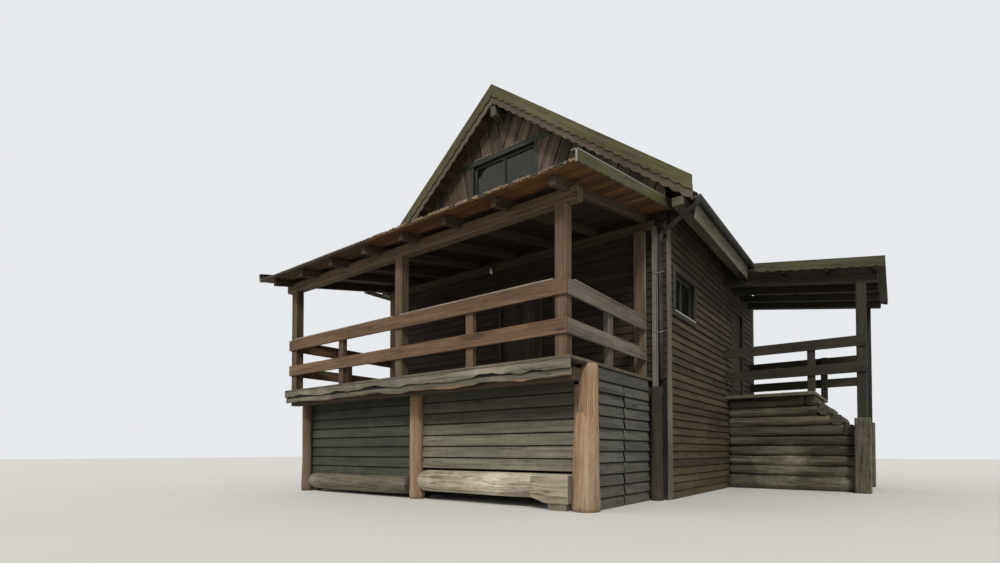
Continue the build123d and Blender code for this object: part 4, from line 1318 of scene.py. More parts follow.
@dataclass(frozen=True)
class SheetRoof:
    """Corrugated sheets in lapped rows on a sloping bed."""

    name: str
    bed: tuple[tuple[Matrix, float, float], ...]
    wave: float
    depth: float
    finish: Finish
    seed: int
    nodes: tuple[str, ...]
    facets: int = 8
    sheet_waves: int = 6
    sheet_run: float = 2.6
    metal: float = 0.003
    stray: float = 0.006
    lap: float = 0.009
    overlap: float = 0.12
    dent: float = 0.0022

    def build(self) -> None:
        """Lay the sheets."""
        chance = random.Random(self.seed)
        mesh = bmesh.new()
        grain = mesh.loops.layers.uv.new("grain")
        for place, length, run in self.bed:
            waves = round(length / self.wave)
            pitch = length / waves
            rows = max(1, math.ceil(run / self.sheet_run))
            for row in range(rows):
                low = run * row / rows - (0.0 if row == 0 else self.overlap)
                high = run * (row + 1) / rows
                for first in range(0, waves, self.sheet_waves):
                    last = min(first + self.sheet_waves, waves)
                    slip = chance.uniform(-self.stray, self.stray) if row == 0 else 0.0
                    lift = chance.uniform(0.0, 0.0015)
                    span = (first * pitch, last * pitch, low + slip, high)
                    self._sheet(mesh, grain, place, span, pitch, lift, chance)
        settle(self.name, mesh, self.finish, Slot.ROOF_METAL, *self.nodes)

    def _sheet(self, mesh: Mesh, grain: object, place: Matrix, span: Span, pitch: float,
               lift: float, chance: random.Random) -> None:
        """Add one sheet.

        Args:
            mesh: the mesh that it joins.
            grain: its UV layer.
            place: the bed.
            span: start, end, lower and upper edge on the bed.
            pitch: from crest to crest.
            lift: how far it lies above the bed.
            chance: random numbers.
        """
        start, end, low, high = span
        across = max(2, round((end - start) / pitch) * self.facets)
        made = bmesh.ops.create_grid(mesh, x_segments=across, y_segments=5, size=0.5)
        seed = chance.uniform(0, 90)
        verts = made["verts"]
        for vert in verts:
            x = start + (vert.co.x + 0.5) * (end - start)
            y = low + (vert.co.y + 0.5) * (high - low)
            crest = 0.5 - 0.5 * math.cos(2 * math.pi * x / pitch)
            dent = self.dent * noise.noise(Vector((x * 2.5, y * 1.5, seed)))
            if low > 0.5:
                dent += self.lap * (high - y) / (high - low)
            vert.co = Vector((x, y, crest * (self.depth - self.metal) + lift + dent))
        faces = list({face for vert in verts for face in vert.link_faces})
        for face in faces:
            face.smooth = True
            for loop in face.loops:
                loop[grain].uv = (loop.vert.co.y, loop.vert.co.x)
        edges = list({edge for face in faces for edge in face.edges})
        whole = bmesh.ops.solidify(mesh, geom=faces + edges + verts, thickness=-self.metal)
        fresh = {item for item in whole["geom"] if isinstance(item, bmesh.types.BMVert)} | set(verts)
        bmesh.ops.transform(mesh, matrix=place, verts=list(fresh))


def scallops(pitch: float, drop: float, shift: float = 0.0) -> Profile:
    """The lower edge of a board cut in rounds, one each pitch from shift on and drop deep."""
    return lambda x: drop * (1.0 - abs(math.sin(math.pi * (x + shift) / pitch)))


def tree_edge(reach: float, seed: float) -> Profile:
    """The wandering edge that a board keeps from its tree.

    Args:
        reach: how far it wanders.
        seed: which edge.

    Returns:
        How far the edge lies above the board's lowest line.
    """
    def edge(x: float) -> float:
        """Where the edge lies at one point of the board's length."""
        slow, quick = (noise.noise(Vector(spot)) for spot in ((x * 1.7, seed, 0.0), (x * 6.0, 0.0, seed)))
        return reach * (0.5 + slow + 0.4 * quick)

    return edge


@dataclass(frozen=True)
class Roof:
    """The main roof's planes, in metres."""

    centre: float = 0.14
    ridge: float = 7.94
    pitch: float = math.radians(38.5)
    reach: float = 3.81
    front: float = 1.84
    rear: float = 8.80
    boards: float = 0.184
    underside: float = 0.206
    board_width: float = 0.142
    board: float = 0.0215
    ridge_gap: float = 0.01
    sheet_foot: float = 0.04
    sheet_gap: float = 0.025
    wave: float = 0.177
    wave_depth: float = 0.024

    @property
    def slope(self) -> float:
        """Length of one slope."""
        return self.reach / math.cos(self.pitch)

    def line(self, side: int, reach: float, depth: float, y: float) -> Vector:
        """A point on one slope (-1 left, 1 right), reach out from the ridge and depth below its face."""
        z = self.ridge - reach * math.tan(self.pitch) - depth / math.cos(self.pitch)
        return Vector((self.centre + side * reach, y, z))

    def out(self, side: int) -> Vector:
        """The way one slope faces."""
        return Vector((side * math.sin(self.pitch), 0.0, math.cos(self.pitch)))

    def bed(self, side: int, depth: float, past: float = 0.0) -> Matrix:
        """A place on one slope, its x along the eave and its y up the slope.

        Args:
            side: -1 for the left slope, 1 for the right one.
            depth: how far below the bargeboards' upper edges.
            past: how far below the eave it starts.

        Returns:
            The place.
        """
        y = self.front if side > 0 else self.rear
        origin = self.line(side, self.reach + past * math.cos(self.pitch), depth, y)
        return axes(BACK * side, self.out(side), origin)

    def build(self) -> None:
        """Lay the boards and the sheets."""
        work = Timberwork("main_roof_boards", 31)
        length = self.rear - self.front
        for side in (-1, 1):
            place = self.bed(side, self.underside)
            Boarding(
                work.name, place, length, self.slope - self.ridge_gap, self.board_width, self.board,
                UNDER_DARK, Slot.DARK_TIMBER, 0,
            ).lay(work)
        work.finish(UNDER_DARK, Slot.DARK_TIMBER, "roof_boards")
        run = self.slope + self.sheet_foot - self.sheet_gap
        bed = tuple((self.bed(side, self.boards, self.sheet_foot), length, run) for side in (-1, 1))
        SheetRoof(
            "main_roof_sheets", bed, self.wave, self.wave_depth, SHEET, 37, ("roof_sheets",), 6, 5,
        ).build()


@dataclass(frozen=True)
class Bargeboards:
    """Scalloped boards along both rakes, two deep."""

    roof: Roof = Roof()
    front: float = 1.79
    rear: float = 8.85
    thickness: float = 0.025
    pitch: float = 0.203
    drop: float = 0.026
    outer: tuple[float, float] = (0.0, 0.193)
    inner: tuple[float, float] = (0.110, 0.298)
    extra: float = 0.25

    def _board(self, work: Timberwork, side: int, out: Vector, face: float, depths: Sequence[float]) -> None:
        """Add one board and cut its ends upright.

        Args:
            work: the piece.
            side: -1 for the left slope, 1 for the right one.
            out: the way the gable faces.
            face: y of its inner face.
            depths: how deep its upper and its lower edge lie.
        """
        roof, (top, bottom) = self.roof, depths
        place = axes(roof.out(side).cross(out), out, Vector())
        start = -self.extra if place.to_3x3().col[0].x * side > 0 else roof.reach + self.extra
        place.translation = roof.line(side, start, bottom, face)
        long = (roof.reach + 2 * self.extra) / math.cos(roof.pitch)
        size = (long, bottom - top, self.thickness - 0.001)
        edge = scallops(self.pitch, self.drop, work.random.uniform(0, 0.2))
        cuts = round(long / self.pitch * 10)
        verts = work.board(place, size, 0.003, cuts, 0.002, None, edge)
        verts = work.cut(verts, Vector((roof.centre + side * 0.0005, 0, 0)), RIGHT * -side)
        work.cut(verts, Vector((roof.centre + side * roof.reach, 0, 0)), RIGHT * side)

    def build(self) -> None:
        """Make both layers at both gables."""
        outer = Timberwork("outer_bargeboards", 41)
        inner = Timberwork("inner_bargeboards", 43)
        for out, face, inward in ((-BACK, self.front, 1), (BACK, self.rear, -1)):
            for side in (-1, 1):
                self._board(outer, side, out, face + inward * self.thickness, self.outer)
                self._board(inner, side, out, face + inward * 2 * self.thickness, self.inner)
        outer.finish(BARGE, Slot.FASCIA_TIMBER, "bargeboards")
        inner.finish(INNER_BARGE, Slot.FASCIA_TIMBER)


@dataclass(frozen=True)
class Gable:
    """Slanted boards of one gable, its lintel and its window ledge."""

    face: float
    out: Vector
    seed: int
    roof: Roof = Roof()
    left: float = -3.14
    right: float = 3.42
    foot: float = 4.655
    left_lean: float = math.radians(12.5)
    right_lean: float = math.radians(23.5)
    left_spacing: float = 0.267
    right_spacing: float = 0.298
    level: float = 6.83
    thickness: float = 0.020
    window: Span = (-0.62, 0.90, 5.55, 6.70)
    lintel_past: float = 0.36
    lintel: float = 0.10
    lintel_depth: float = 0.036
    ledge_past: float = 0.09
    ledge_levels: tuple[float, float] = (0.035, 0.005)
    ledge_inside: float = 0.02
    ledge_depth: float = 0.075
    each_way: int = 18
    cut_step: float = 0.5

    def build(self, name: str) -> None:
        """Make the boards, the lintel and the ledge.

        Args:
            name: start of the pieces' names.
        """
        work = Timberwork(name + "_boards", self.seed)
        start, end, sill, head = self.window
        middle, joint = (start + end) / 2, head + self.lintel / 2
        top = self.roof.line(1, 0.0, self.roof.underside, 0.0).z
        foot = self.foot
        left_fields = (
            (self.left, middle, joint, top), (self.left, start, foot, joint), (start, middle, foot, sill),
        )
        right_fields = (
            (middle, self.right, joint, top), (end, self.right, foot, joint), (middle, end, foot, sill),
        )
        for fields, lean, spacing in (
            (left_fields, -self.left_lean, self.left_spacing),
            (right_fields, self.right_lean, self.right_spacing),
        ):
            for field in fields:
                work.take(self._field(work.random.randrange(1000), field, lean, spacing))
        for side in (-1, 1):
            point = self.roof.line(side, 1.0, self.roof.underside + 0.002, 0.0)
            work.cut(list(work.mesh.verts), point, self.roof.out(side))
        work.finish(GABLE, Slot.GABLE_BOARDS)
        trim = Timberwork(name + "_lintel", self.seed + 1)
        lintel = (start - self.lintel_past, end + self.lintel_past, head, head + self.lintel)
        trim.timber(self._bar(lintel, 0.0, self.lintel_depth), 0.004)
        low, high = self.ledge_levels
        ledge = (start - self.ledge_past, end + self.ledge_past, sill - low, sill - high)
        trim.timber(self._bar(ledge, self.ledge_inside, self.ledge_depth), 0.004)
        trim.finish(PAINTED, Slot.WINDOW_PAINT)

    def _bar(self, span: Span, inside: float, depth: float) -> Box:
        """The box of a bar that lies along the gable's face.

        Args:
            span: its start, end, low and high side.
            inside: how far it reaches into the face.
            depth: how far it stands out.

        Returns:
            The box.
        """
        start, end, low, high = span
        front = self.face + self.out.y * depth
        return Box(
            Vector((start, min(self.face - inside, front), low)),
            Vector((end, max(self.face + inside, front), high)),
        )

    def _field(self, seed: int, field: Span, lean: float, spacing: float) -> Mesh:
        """Lay slanted boards over a rectangle and saw them off at its edges.

        Args:
            seed: start of their random numbers.
            field: the rectangle.
            lean: how far they lean to the right.
            spacing: level distance from board to board.

        Returns:
            A mesh with these boards alone.
        """
        work = Timberwork("field", seed)
        start, end, low, high = field
        middle = (self.window[0] + self.window[1]) / 2
        up = Vector((math.sin(lean), 0.0, math.cos(lean)))
        long = (high - low) / math.cos(lean) + spacing
        for index in range(-self.each_way, self.each_way):
            centre = middle + (index + 0.5) * spacing
            feet = [centre + (level - self.level) * math.tan(lean) for level in (low, high)]
            if max(feet) < start - spacing or min(feet) > end + spacing:
                continue
            width = spacing * math.cos(lean) - work.random.uniform(0.015, 0.024)
            slip = self.out * work.random.uniform(-0.0015, 0.0015)
            place = axes(up, self.out, Vector((feet[0], self.face, low)) + slip)
            place = place @ Matrix.Translation((-spacing / 2, -width / 2, 0.0))
            cuts = max(1, int(long / self.cut_step))
            work.board(place, (long, width, self.thickness), 0.002, cuts, 0.003)
        for point, way in ((RIGHT * start, -RIGHT), (RIGHT * end, RIGHT), (UP * low, -UP), (UP * high, UP)):
            work.cut(list(work.mesh.verts), point, way)
        return work.mesh


@dataclass(frozen=True)
class Walls:
    """Board cladding of the four walls, with the near-black imported walls behind it as painted shade."""

    left: float = -3.14
    right: float = 3.42
    front: float = 2.18
    rear: float = 8.46
    corner: float = 0.15
    height: float = 4.97
    deck: float = 1.95
    window: Span = (2.47, 3.51, 3.09, 3.76)
    door: Span = (6.31, 7.21, 1.95, 3.95)
    front_door: Span = (0.11, 1.01, 1.95, 3.95)
    rear_window: Span = (-0.38, 0.66, 3.09, 3.76)
    side_rows: int = 38
    rear_height: float = 4.65
    rear_rows: int = 35
    front_height: float = 2.7
    front_rows: int = 20
    strip_past: float = 0.004
    strip_top: float = 0.012

    def _moved(self, span: Span, shift: float, turned: bool = False) -> Span:
        """An opening measured along a wall's boards, which start at shift and may run the other way."""
        start, end = (shift - span[1], shift - span[0]) if turned else (span[0] - shift, span[1] - shift)
        return (start, end, span[2], span[3])

    def build(self) -> None:
        """Board all four walls."""
        inner_front, inner_rear = self.front + self.corner, self.rear - self.corner
        long = inner_rear - inner_front
        wide = self.right - self.left
        Cladding(
            "right_wall_boards", Vector((self.right, inner_front, 0)), RIGHT, long, self.height,
            self.side_rows, SIDE, Slot.DARK_TIMBER, 51,
            (self._moved(self.window, inner_front), self._moved(self.door, inner_front)),
        ).build()
        Cladding(
            "left_wall_boards", Vector((self.left, inner_rear, 0)), -RIGHT, long, self.height,
            self.side_rows, SIDE, Slot.DARK_TIMBER, 53, (self._moved(self.window, inner_rear, True),),
        ).build()
        Cladding(
            "rear_wall_boards", Vector((self.right, self.rear, 0)), BACK, wide, self.rear_height,
            self.rear_rows, SIDE, Slot.DARK_TIMBER, 57, (self._moved(self.rear_window, self.right, True),),
        ).build()
        door = self.front_door
        opening = (door[0] - self.left, door[1] - self.left, 0.0, door[3] - self.deck)
        Cladding(
            "front_wall_boards", Vector((self.left, self.front, self.deck)), -BACK, wide, self.front_height,
            self.front_rows, DARK, Slot.DARK_TIMBER, 59, (opening,), butt=0.020, tip=0.004,
        ).build()
        self._sill_strips()
        corners = Timberwork("corner_boards_dressed", 61)
        corners.node("corner_boards", 0.004)
        corners.finish(CORNER, Slot.DARK_TIMBER, "corner_boards")

    def _sill_strips(self) -> None:
        """Lay a thin metal strip on the lower edge of each small window."""
        work = Timberwork("window_sill_strips", 67)
        past = self.strip_past
        for box in solid_boxes("window_frames"):
            if box.low.z > self.height - 1.0:
                continue
            trim = next(
                part for part in solid_boxes("window_trims")
                if (part.middle - box.middle).length < 0.3
            )
            low = Vector((trim.low.x - past, trim.low.y - past, box.low.z - past))
            high = Vector((trim.high.x + past, trim.high.y + past, box.low.z + self.strip_top))
            axis = 1 if box.size.y > box.size.x else 0
            low[axis], high[axis] = box.low[axis] - past, box.high[axis] + past
            work.timber(Box(low, high), 0.001, 0.0, 0.5)
        work.finish(SILL_METAL, Slot.WINDOW_PAINT)


@dataclass(frozen=True)
class Skirts:
    """Board skirts between the log posts."""

    face: float = 0.02
    left_face: float = -0.006
    left_span: tuple[float, float] = (-3.05, -0.130)
    right_span: tuple[float, float] = (0.130, 2.952)
    row: float = 0.1767
    left_foot: float = 0.333
    right_foot: float = 0.51
    left_rows: int = 8
    right_rows: int = 7
    top: float = 1.81
    side_top: float = 1.91
    side_left: float = -3.07
    side_right: float = 3.18
    side_front: float = 0.208
    side_rear: float = 1.9375
    side_joint: float = 1.01
    side_row: float = 0.157
    side_rows: int = 11
    ragged: float = 0.045
    longest: float = 9.0
    thickness: float = 0.018
    backing: float = 0.03
    # Tones of the right bay's rows from the bottom: the lower rows are lighter as painted sunlight, the upper
    # ones darker as painted shade under the deck
    light: tuple[float, ...] = (1.2, 1.12, 1.05, 0.8, 0.36, 0.42, 0.34, 0.3)

    def build(self) -> None:
        """Board the front and both sides."""
        alike = {"longest": self.longest, "thickness": self.thickness, "backing": self.backing}
        for name, (start, end), face, foot, rows, finish, tones, nodes in (
            (
                "front_left", self.left_span, self.left_face, self.left_foot, self.left_rows,
                SKIRT_DARK, (), ("skirts",),
            ),
            (
                "front_right", self.right_span, self.face, self.right_foot, self.right_rows,
                SKIRT, self.light, (),
            ),
        ):
            Cladding(
                name + "_skirt_boards", Vector((start, face, foot)), -BACK, end - start, self.top - foot,
                rows, finish, Slot.WEATHERED_BOARDS, 71 + rows, butt=0.032, tones=tones,
                last_row=self.top - foot - rows * self.row, nodes=nodes, **alike,
            ).build()
        bays = ((self.side_front, self.side_joint), (self.side_joint, self.side_rear))
        ends = ((0.0, self.ragged), (self.ragged, 0.0))
        high = self.side_rows * self.side_row
        for side, x in (("left", self.side_left), ("right", self.side_right)):
            out = RIGHT if side == "right" else -RIGHT
            for index, (near, far) in enumerate(bays):
                first, ragged = (near, ends[index]) if side == "right" else (far, ends[1 - index])
                Cladding(
                    f"{side}_skirt_boards_{index}", Vector((x, first, 0)), out, far - near, high,
                    self.side_rows, SKIRT_SIDE, Slot.WEATHERED_BOARDS, 79 + index,
                    butt=0.034, loose=0.007, ragged=ragged, **alike,
                ).build()
            first = self.side_front if side == "right" else self.side_rear
            Cladding(
                f"{side}_skirt_top_board", Vector((x, first, high)), out, self.side_rear - self.side_front,
                self.side_top - high, 1, SKIRT_SIDE, Slot.WEATHERED_BOARDS, 82, butt=0.034, **alike,
            ).build()


@dataclass(frozen=True)
class Logs:
    """Round timber under the veranda."""

    top: float = 1.91
    rear_top: float = 1.80
    # Each upright: x, y, radius and tone; the left log's low tone is painted shade, the right log's high tone
    # painted sunlight
    uprights: tuple[tuple[float, float, float, float], ...] = (
        (-3.04, -0.10, 0.100, -0.15), (0.0, 0.0, 0.120, 0.45), (3.16, 0.0, 0.118, 0.62),
    )
    rear: tuple[tuple[float, float, float], ...] = ((-3.0, 2.045, 0.088), (3.29, 2.045, 0.088))
    shoulder: tuple[float, float, float, float] = (3.122, 0.0, 0.168, 1.28)
    sill_y: float = -0.03
    left_sill: Span = (-2.92, -0.127, 0.06, 0.36)
    right_sill: Span = (0.127, 2.952, 0.14, 0.476)
    butt: float = 0.58
    butt_drop: float = 0.05
    butt_overlap: float = 0.10
    packing: tuple[float, float] = (2.64, 2.92)
    flare: tuple[float, ...] = (1.16, 1.07, 1.05, 1.03, 1.01, 1.0)
    waist: tuple[float, ...] = (
        1.10, 1.05, 1.01, 0.99, 0.98, 0.97, 0.96, 0.95, 0.94, 0.94, 0.93, 0.92, 0.80,
    )
    hewn: tuple[float, ...] = (0.88, 0.97, 0.99, 1.0, 1.01, 1.0, 0.99, 1.0, 1.01, 1.0, 0.97, 0.90)

    def build(self) -> None:
        """Stand the posts and lay the sills."""
        posts = Timberwork("log_posts_round", 83)
        for x, y, radius, tone in self.uprights:
            rings = [radius * part for part in self.flare]
            posts.log(Vector((x, y, 0)), Vector((x, y, self.top)), rings, 0.014, 36, None, tone)
        x, y, radius, height = self.shoulder
        rings = [radius * part for part in self.waist]
        # The shoulder's high tone is painted sunlight
        posts.log(Vector((x, y, 0)), Vector((x, y, height)), rings, 0.019, 48, None, 0.68)
        posts.finish(LOG, Slot.LOG_WOOD, "log_posts")
        rear = Timberwork("rear_log_posts_round", 85)
        for x, y, radius in self.rear:
            rings = [radius * part for part in self.flare]
            rear.log(Vector((x, y, 0)), Vector((x, y, self.rear_top)), rings, 0.007)
        rear.finish(REAR_LOG, Slot.LOG_WOOD)
        self._sills()

    def _sills(self) -> None:
        """Lay the two sills, the right one with its squared butt on a packing piece."""
        sills = Timberwork("sill_logs_hewn", 89)
        start, end, bottom, top = self.right_sill
        round_part = (start + 0.05, end - self.butt + self.butt_overlap, bottom, top)
        # The left sill's low tone is painted shade, the right sill's high tone painted sunlight
        for (start, end, bottom, top), tone in ((self.left_sill, 0.1), (round_part, 1.0)):
            middle, half = (bottom + top) / 2, (top - bottom) / 2
            radius = half / math.cos(math.radians(22))
            sills.log(
                Vector((start, self.sill_y, middle)), Vector((end, self.sill_y, middle)),
                [radius * part for part in self.hewn], 0.014, 40, (-half, half), tone,
            )
        _, end, bottom, top = self.right_sill
        half = (top - bottom) / 2
        low = Vector((end - self.butt, self.sill_y - half, bottom - self.butt_drop))
        butt = sills.timber(Box(low, Vector((end, self.sill_y + half, top))), 0.016, 0.008, 0.75)
        sills.cut(butt, Vector((end - self.butt, 0, bottom + 0.03)), Vector((-0.32, 0, -1)).normalized())
        foot = Vector((self.packing[0], self.sill_y - half + 0.03, 0.0))
        head = Vector((self.packing[1], self.sill_y + half - 0.05, low.z - 0.001))
        sills.timber(Box(foot, head), 0.008, 0.004, 0.2)
        sills.finish(SILL, Slot.LOG_WOOD, "sill_logs")


@dataclass(frozen=True)
class Deck:
    """Floor boards of the veranda and the two waney boards on its front edge."""

    left: float = -3.10
    right: float = 3.21
    front: float = -0.57
    rear: float = 2.18
    top: float = 1.95
    thickness: float = 0.04
    waney_thickness: float = 0.032
    upper: tuple[float, float] = (1.906, 0.098)
    lower: tuple[float, float] = (1.832, 0.130)

    def build(self) -> None:
        """Lay the floor and hang the edge boards."""
        place = axes(RIGHT, UP, Vector((self.left, self.front, self.top - self.thickness)))
        Boarding(
            "deck_floor_boards", place, self.right - self.left, self.rear - self.front, 0.145, self.thickness,
            DECK, Slot.DARK_TIMBER, 97, ("deck_floor",), 0.006, 4.2, 0.004,
        ).build()
        thick = self.waney_thickness
        for name, seed, finish, (top, height), face, reach, nodes in (
            ("upper_deck_edge_board", 101, WANEY, self.upper, self.front, 0.055, ("deck_fascia",)),
            ("lower_deck_edge_board", 102, LOW_WANEY, self.lower, self.front + thick, 0.038, ()),
        ):
            work = Timberwork(name, seed)
            corner = Vector((self.left, face + thick - 0.001, top - height - reach * 0.5))
            size = (self.right - self.left, height + reach * 0.5, thick - 0.002)
            work.board(axes(RIGHT, -BACK, corner), size, 0.006, 130, 0.006, 0.5, tree_edge(reach, top * 4))
            work.finish(finish, Slot.FASCIA_TIMBER, *nodes)


@dataclass(frozen=True)
class VerandaRoof:
    """Boards, sheet, fascias and flashings of the veranda roof."""

    pitch: float = math.radians(11)
    half_width: float = 3.5
    fascia: float = 0.025
    eave: float = -0.89
    wall: float = 2.18
    post_row: float = -0.36
    rafter_foot: float = 4.028
    rafter: float = 0.133
    board: float = 0.022
    fascia_height: float = 0.155
    fascia_rear: tuple[float, float] = (1.778, 2.26)
    beam_half: float = 0.075
    # Length of the overhang's left part, which is darker as painted shade
    shaded_left_run: float = 3.2
    side_bay: float = 3.08
    board_width: float = 0.135
    board_start: float = 0.012
    wave: float = 0.076
    wave_depth: float = 0.024
    scallop: tuple[float, float] = (0.2, 0.014)
    metal: float = 0.0018
    cap_metal: float = 0.0025
    strip: tuple[float, float] = (0.014, 0.016)
    lid_inward: float = 0.030
    lip: tuple[float, float] = (0.085, 0.010)

    def underside(self, y: float) -> float:
        """Height of the rafters' lower edges at y."""
        return self.rafter_foot + (y - self.post_row) * math.tan(self.pitch)

    def build(self) -> None:
        """Make the roof's layers."""
        tilt = math.cos(self.pitch)
        out = Vector((0, -math.sin(self.pitch), tilt))
        half = self.half_width - self.fascia
        front = self.eave + self.board_start
        level = self.underside(front) + self.rafter / tilt
        place = axes(RIGHT, out, Vector((-half, front, level)))
        run, overhang = (self.wall - front) / tilt, (self.post_row - self.beam_half - front) / tilt
        joint = half + self.side_bay
        inner = run - overhang
        stands_for = ("veranda_roof_boards",)
        for name, seed, along, up, long, wide, finish, nodes in (
            ("overhang", 103, self.shaded_left_run, 0.0, 2 * half - self.shaded_left_run, overhang, UNDER, stands_for),
            ("side_soffit", 106, joint, overhang, 2 * half - joint, inner, UNDER_SIDE, ()),
            ("left_overhang", 108, 0.0, 0.0, self.shaded_left_run, overhang, UNDER_LEFT, ()),
            ("ceiling", 102, 0.0, overhang, joint, inner, CEILING, ()),
        ):
            Boarding(
                f"veranda_{name}_boards", place @ Matrix.Translation((along, up, 0)), long, wide,
                self.board_width, self.board, finish, Slot.DARK_TIMBER, seed, nodes, 0.003, 3.9,
            ).build()
        level = self.underside(self.eave) + (self.rafter + self.board) / tilt
        place = axes(RIGHT, out, Vector((-half, self.eave, level)))
        bed = (place, 2 * half, (self.wall - self.eave) / tilt - 0.004)
        SheetRoof(
            "veranda_sheets", (bed,), self.wave, self.wave_depth, LOW_SHEET, 107, ("veranda_roof_sheet",),
            6, 12, 3.3, stray=0.004,
        ).build()
        self._fascias(tilt, out)

    def _fascias(self, tilt: float, out: Vector) -> None:
        """Make the side fascias and the metal on their upper edges and front ends.

        Args:
            tilt: cosine of the roof's pitch.
            out: the way the roof faces.
        """
        work = Timberwork("veranda_side_fascias", 109)
        metal = Timberwork("veranda_flashings", 113)
        slope = Vector((0, tilt, math.sin(self.pitch)))
        foot = self.underside(self.eave) + self.rafter / tilt
        front_top = foot + self.fascia_height
        width = self.fascia_height * tilt
        pitch, drop = self.scallop
        strip_drop, strip_width = self.strip
        lip_long, lip_high = self.lip
        inner, outer = self.half_width - self.fascia, self.half_width
        for side, rear in zip((-1, 1), self.fascia_rear):
            long = (rear - self.eave) / tilt
            face = RIGHT * side
            along = slope * side
            top = Vector((side * inner, self.eave, front_top))
            start = top if side > 0 else top + slope * long
            place = axes(along, face, start - out * width)
            size = (long, width, self.fascia - 0.0015)
            # The left fascia gets the lowest tone as painted shade
            tone, cuts = 0.55 if side > 0 else 0.0, round(long / pitch * 10)
            work.board(place, size, 0.003, cuts, 0.002, tone, scallops(pitch, drop))
            strip = axes(along, face, start - out * strip_drop + face * (self.fascia - 0.0005))
            metal.board(strip, (long, strip_width, self.metal), 0.0, 8, 0.001, 0.6)
            lid = axes(slope, out, top + out * 0.0005)
            sides = (side * (inner - self.lid_inward), side * outer)
            lid.translation.x = min(sides) if lid.to_3x3().col[1].x > 0 else max(sides)
            metal.board(lid, (long, max(sides) - min(sides), self.metal), 0.0, 8, 0.001, 0.5)
            for wide, high, low in (
                (self.fascia, self.fascia_height, foot), (lip_long, lip_high, front_top - lip_high),
            ):
                corner = Vector((min(side * outer, side * (outer - wide)), self.eave + 0.001, low))
                metal.board(axes(RIGHT, -BACK, corner), (wide, high, self.cap_metal), 0.0, 0, 0.0, 0.5)
        work.finish(FASCIA, Slot.FASCIA_TIMBER, "veranda_fascias")
        metal.finish(ZINC, Slot.ROOF_METAL)


@dataclass(frozen=True)
class Litter:
    """Needles, leaves and crumbs of moss left lying on the low roof's edge and on the lintel."""

    roof: VerandaRoof = VerandaRoof()
    seed: int = 127
    pieces: int = 2300
    heap: float = 1.75
    heap_spread: float = 0.45
    thin_from: float = -0.2
    band: float = 0.11
    over_share: float = 0.4
    lintel_crumbs: int = 70
    lintel_heaps: tuple[float, ...] = (-0.45, -0.2, -0.13, 0.28, 0.42)
    lintel_spread: float = 0.07
    lintel_front: float = 2.144
    lintel_top: float = 6.80

    def build(self) -> None:
        """Scatter the litter."""
        chance = random.Random(self.seed)
        mesh = bmesh.new()
        mesh.loops.layers.uv.new("grain")
        half = self.roof.half_width - self.roof.fascia
        tilt = math.cos(self.roof.pitch)
        for _ in range(self.pieces):
            heaps = [chance.gauss(self.heap, self.heap_spread) for _ in range(2)]
            x = chance.choice((*heaps, chance.uniform(self.thin_from, half)))
            if abs(x) > half or noise.noise(Vector((x * 6.0, 3.0, 1.0))) < -0.1:
                continue
            over = chance.random() < self.over_share
            inward = chance.uniform(-0.016, 0.002) if over else abs(chance.gauss(0.0, self.band * 0.5))
            y = self.roof.eave + inward
            level = self.roof.underside(y) + (self.roof.rafter + self.roof.board) / tilt
            level += chance.uniform(-0.006, 0.022) if over else 0.020
            self._crumb(mesh, chance, Vector((x, y, level)), chance.uniform(0.006, 0.015))
        for _ in range(self.lintel_crumbs):
            x = chance.choice(self.lintel_heaps) + chance.gauss(0.0, self.lintel_spread)
            y = self.lintel_front + chance.uniform(-0.004, 0.012)
            spot = Vector((x, y, self.lintel_top + chance.uniform(-0.004, 0.016)))
            self._crumb(mesh, chance, spot, chance.uniform(0.008, 0.019))
        settle("roof_litter", mesh, LITTER, Slot.ROOF_METAL)

    def _crumb(self, mesh: Mesh, chance: random.Random, spot: Vector, size: float) -> None:
        """Add one lump, needle bundle or leaf.

        Args:
            mesh: the mesh that it joins.
            chance: random numbers.
            spot: where it lies.
            size: its half width.
        """
        made = bmesh.ops.create_icosphere(mesh, subdivisions=1, radius=size)
        turn = Matrix.Rotation(chance.uniform(0, 6.28), 4, "Z")
        stretch = [chance.uniform(*limits) for limits in ((0.8, 2.6), (0.5, 1.0), (0.25, 0.7))]
        shape = Matrix.Diagonal((*stretch, 1.0))
        bmesh.ops.transform(mesh, matrix=Matrix.Translation(spot) @ turn @ shape, verts=made["verts"])


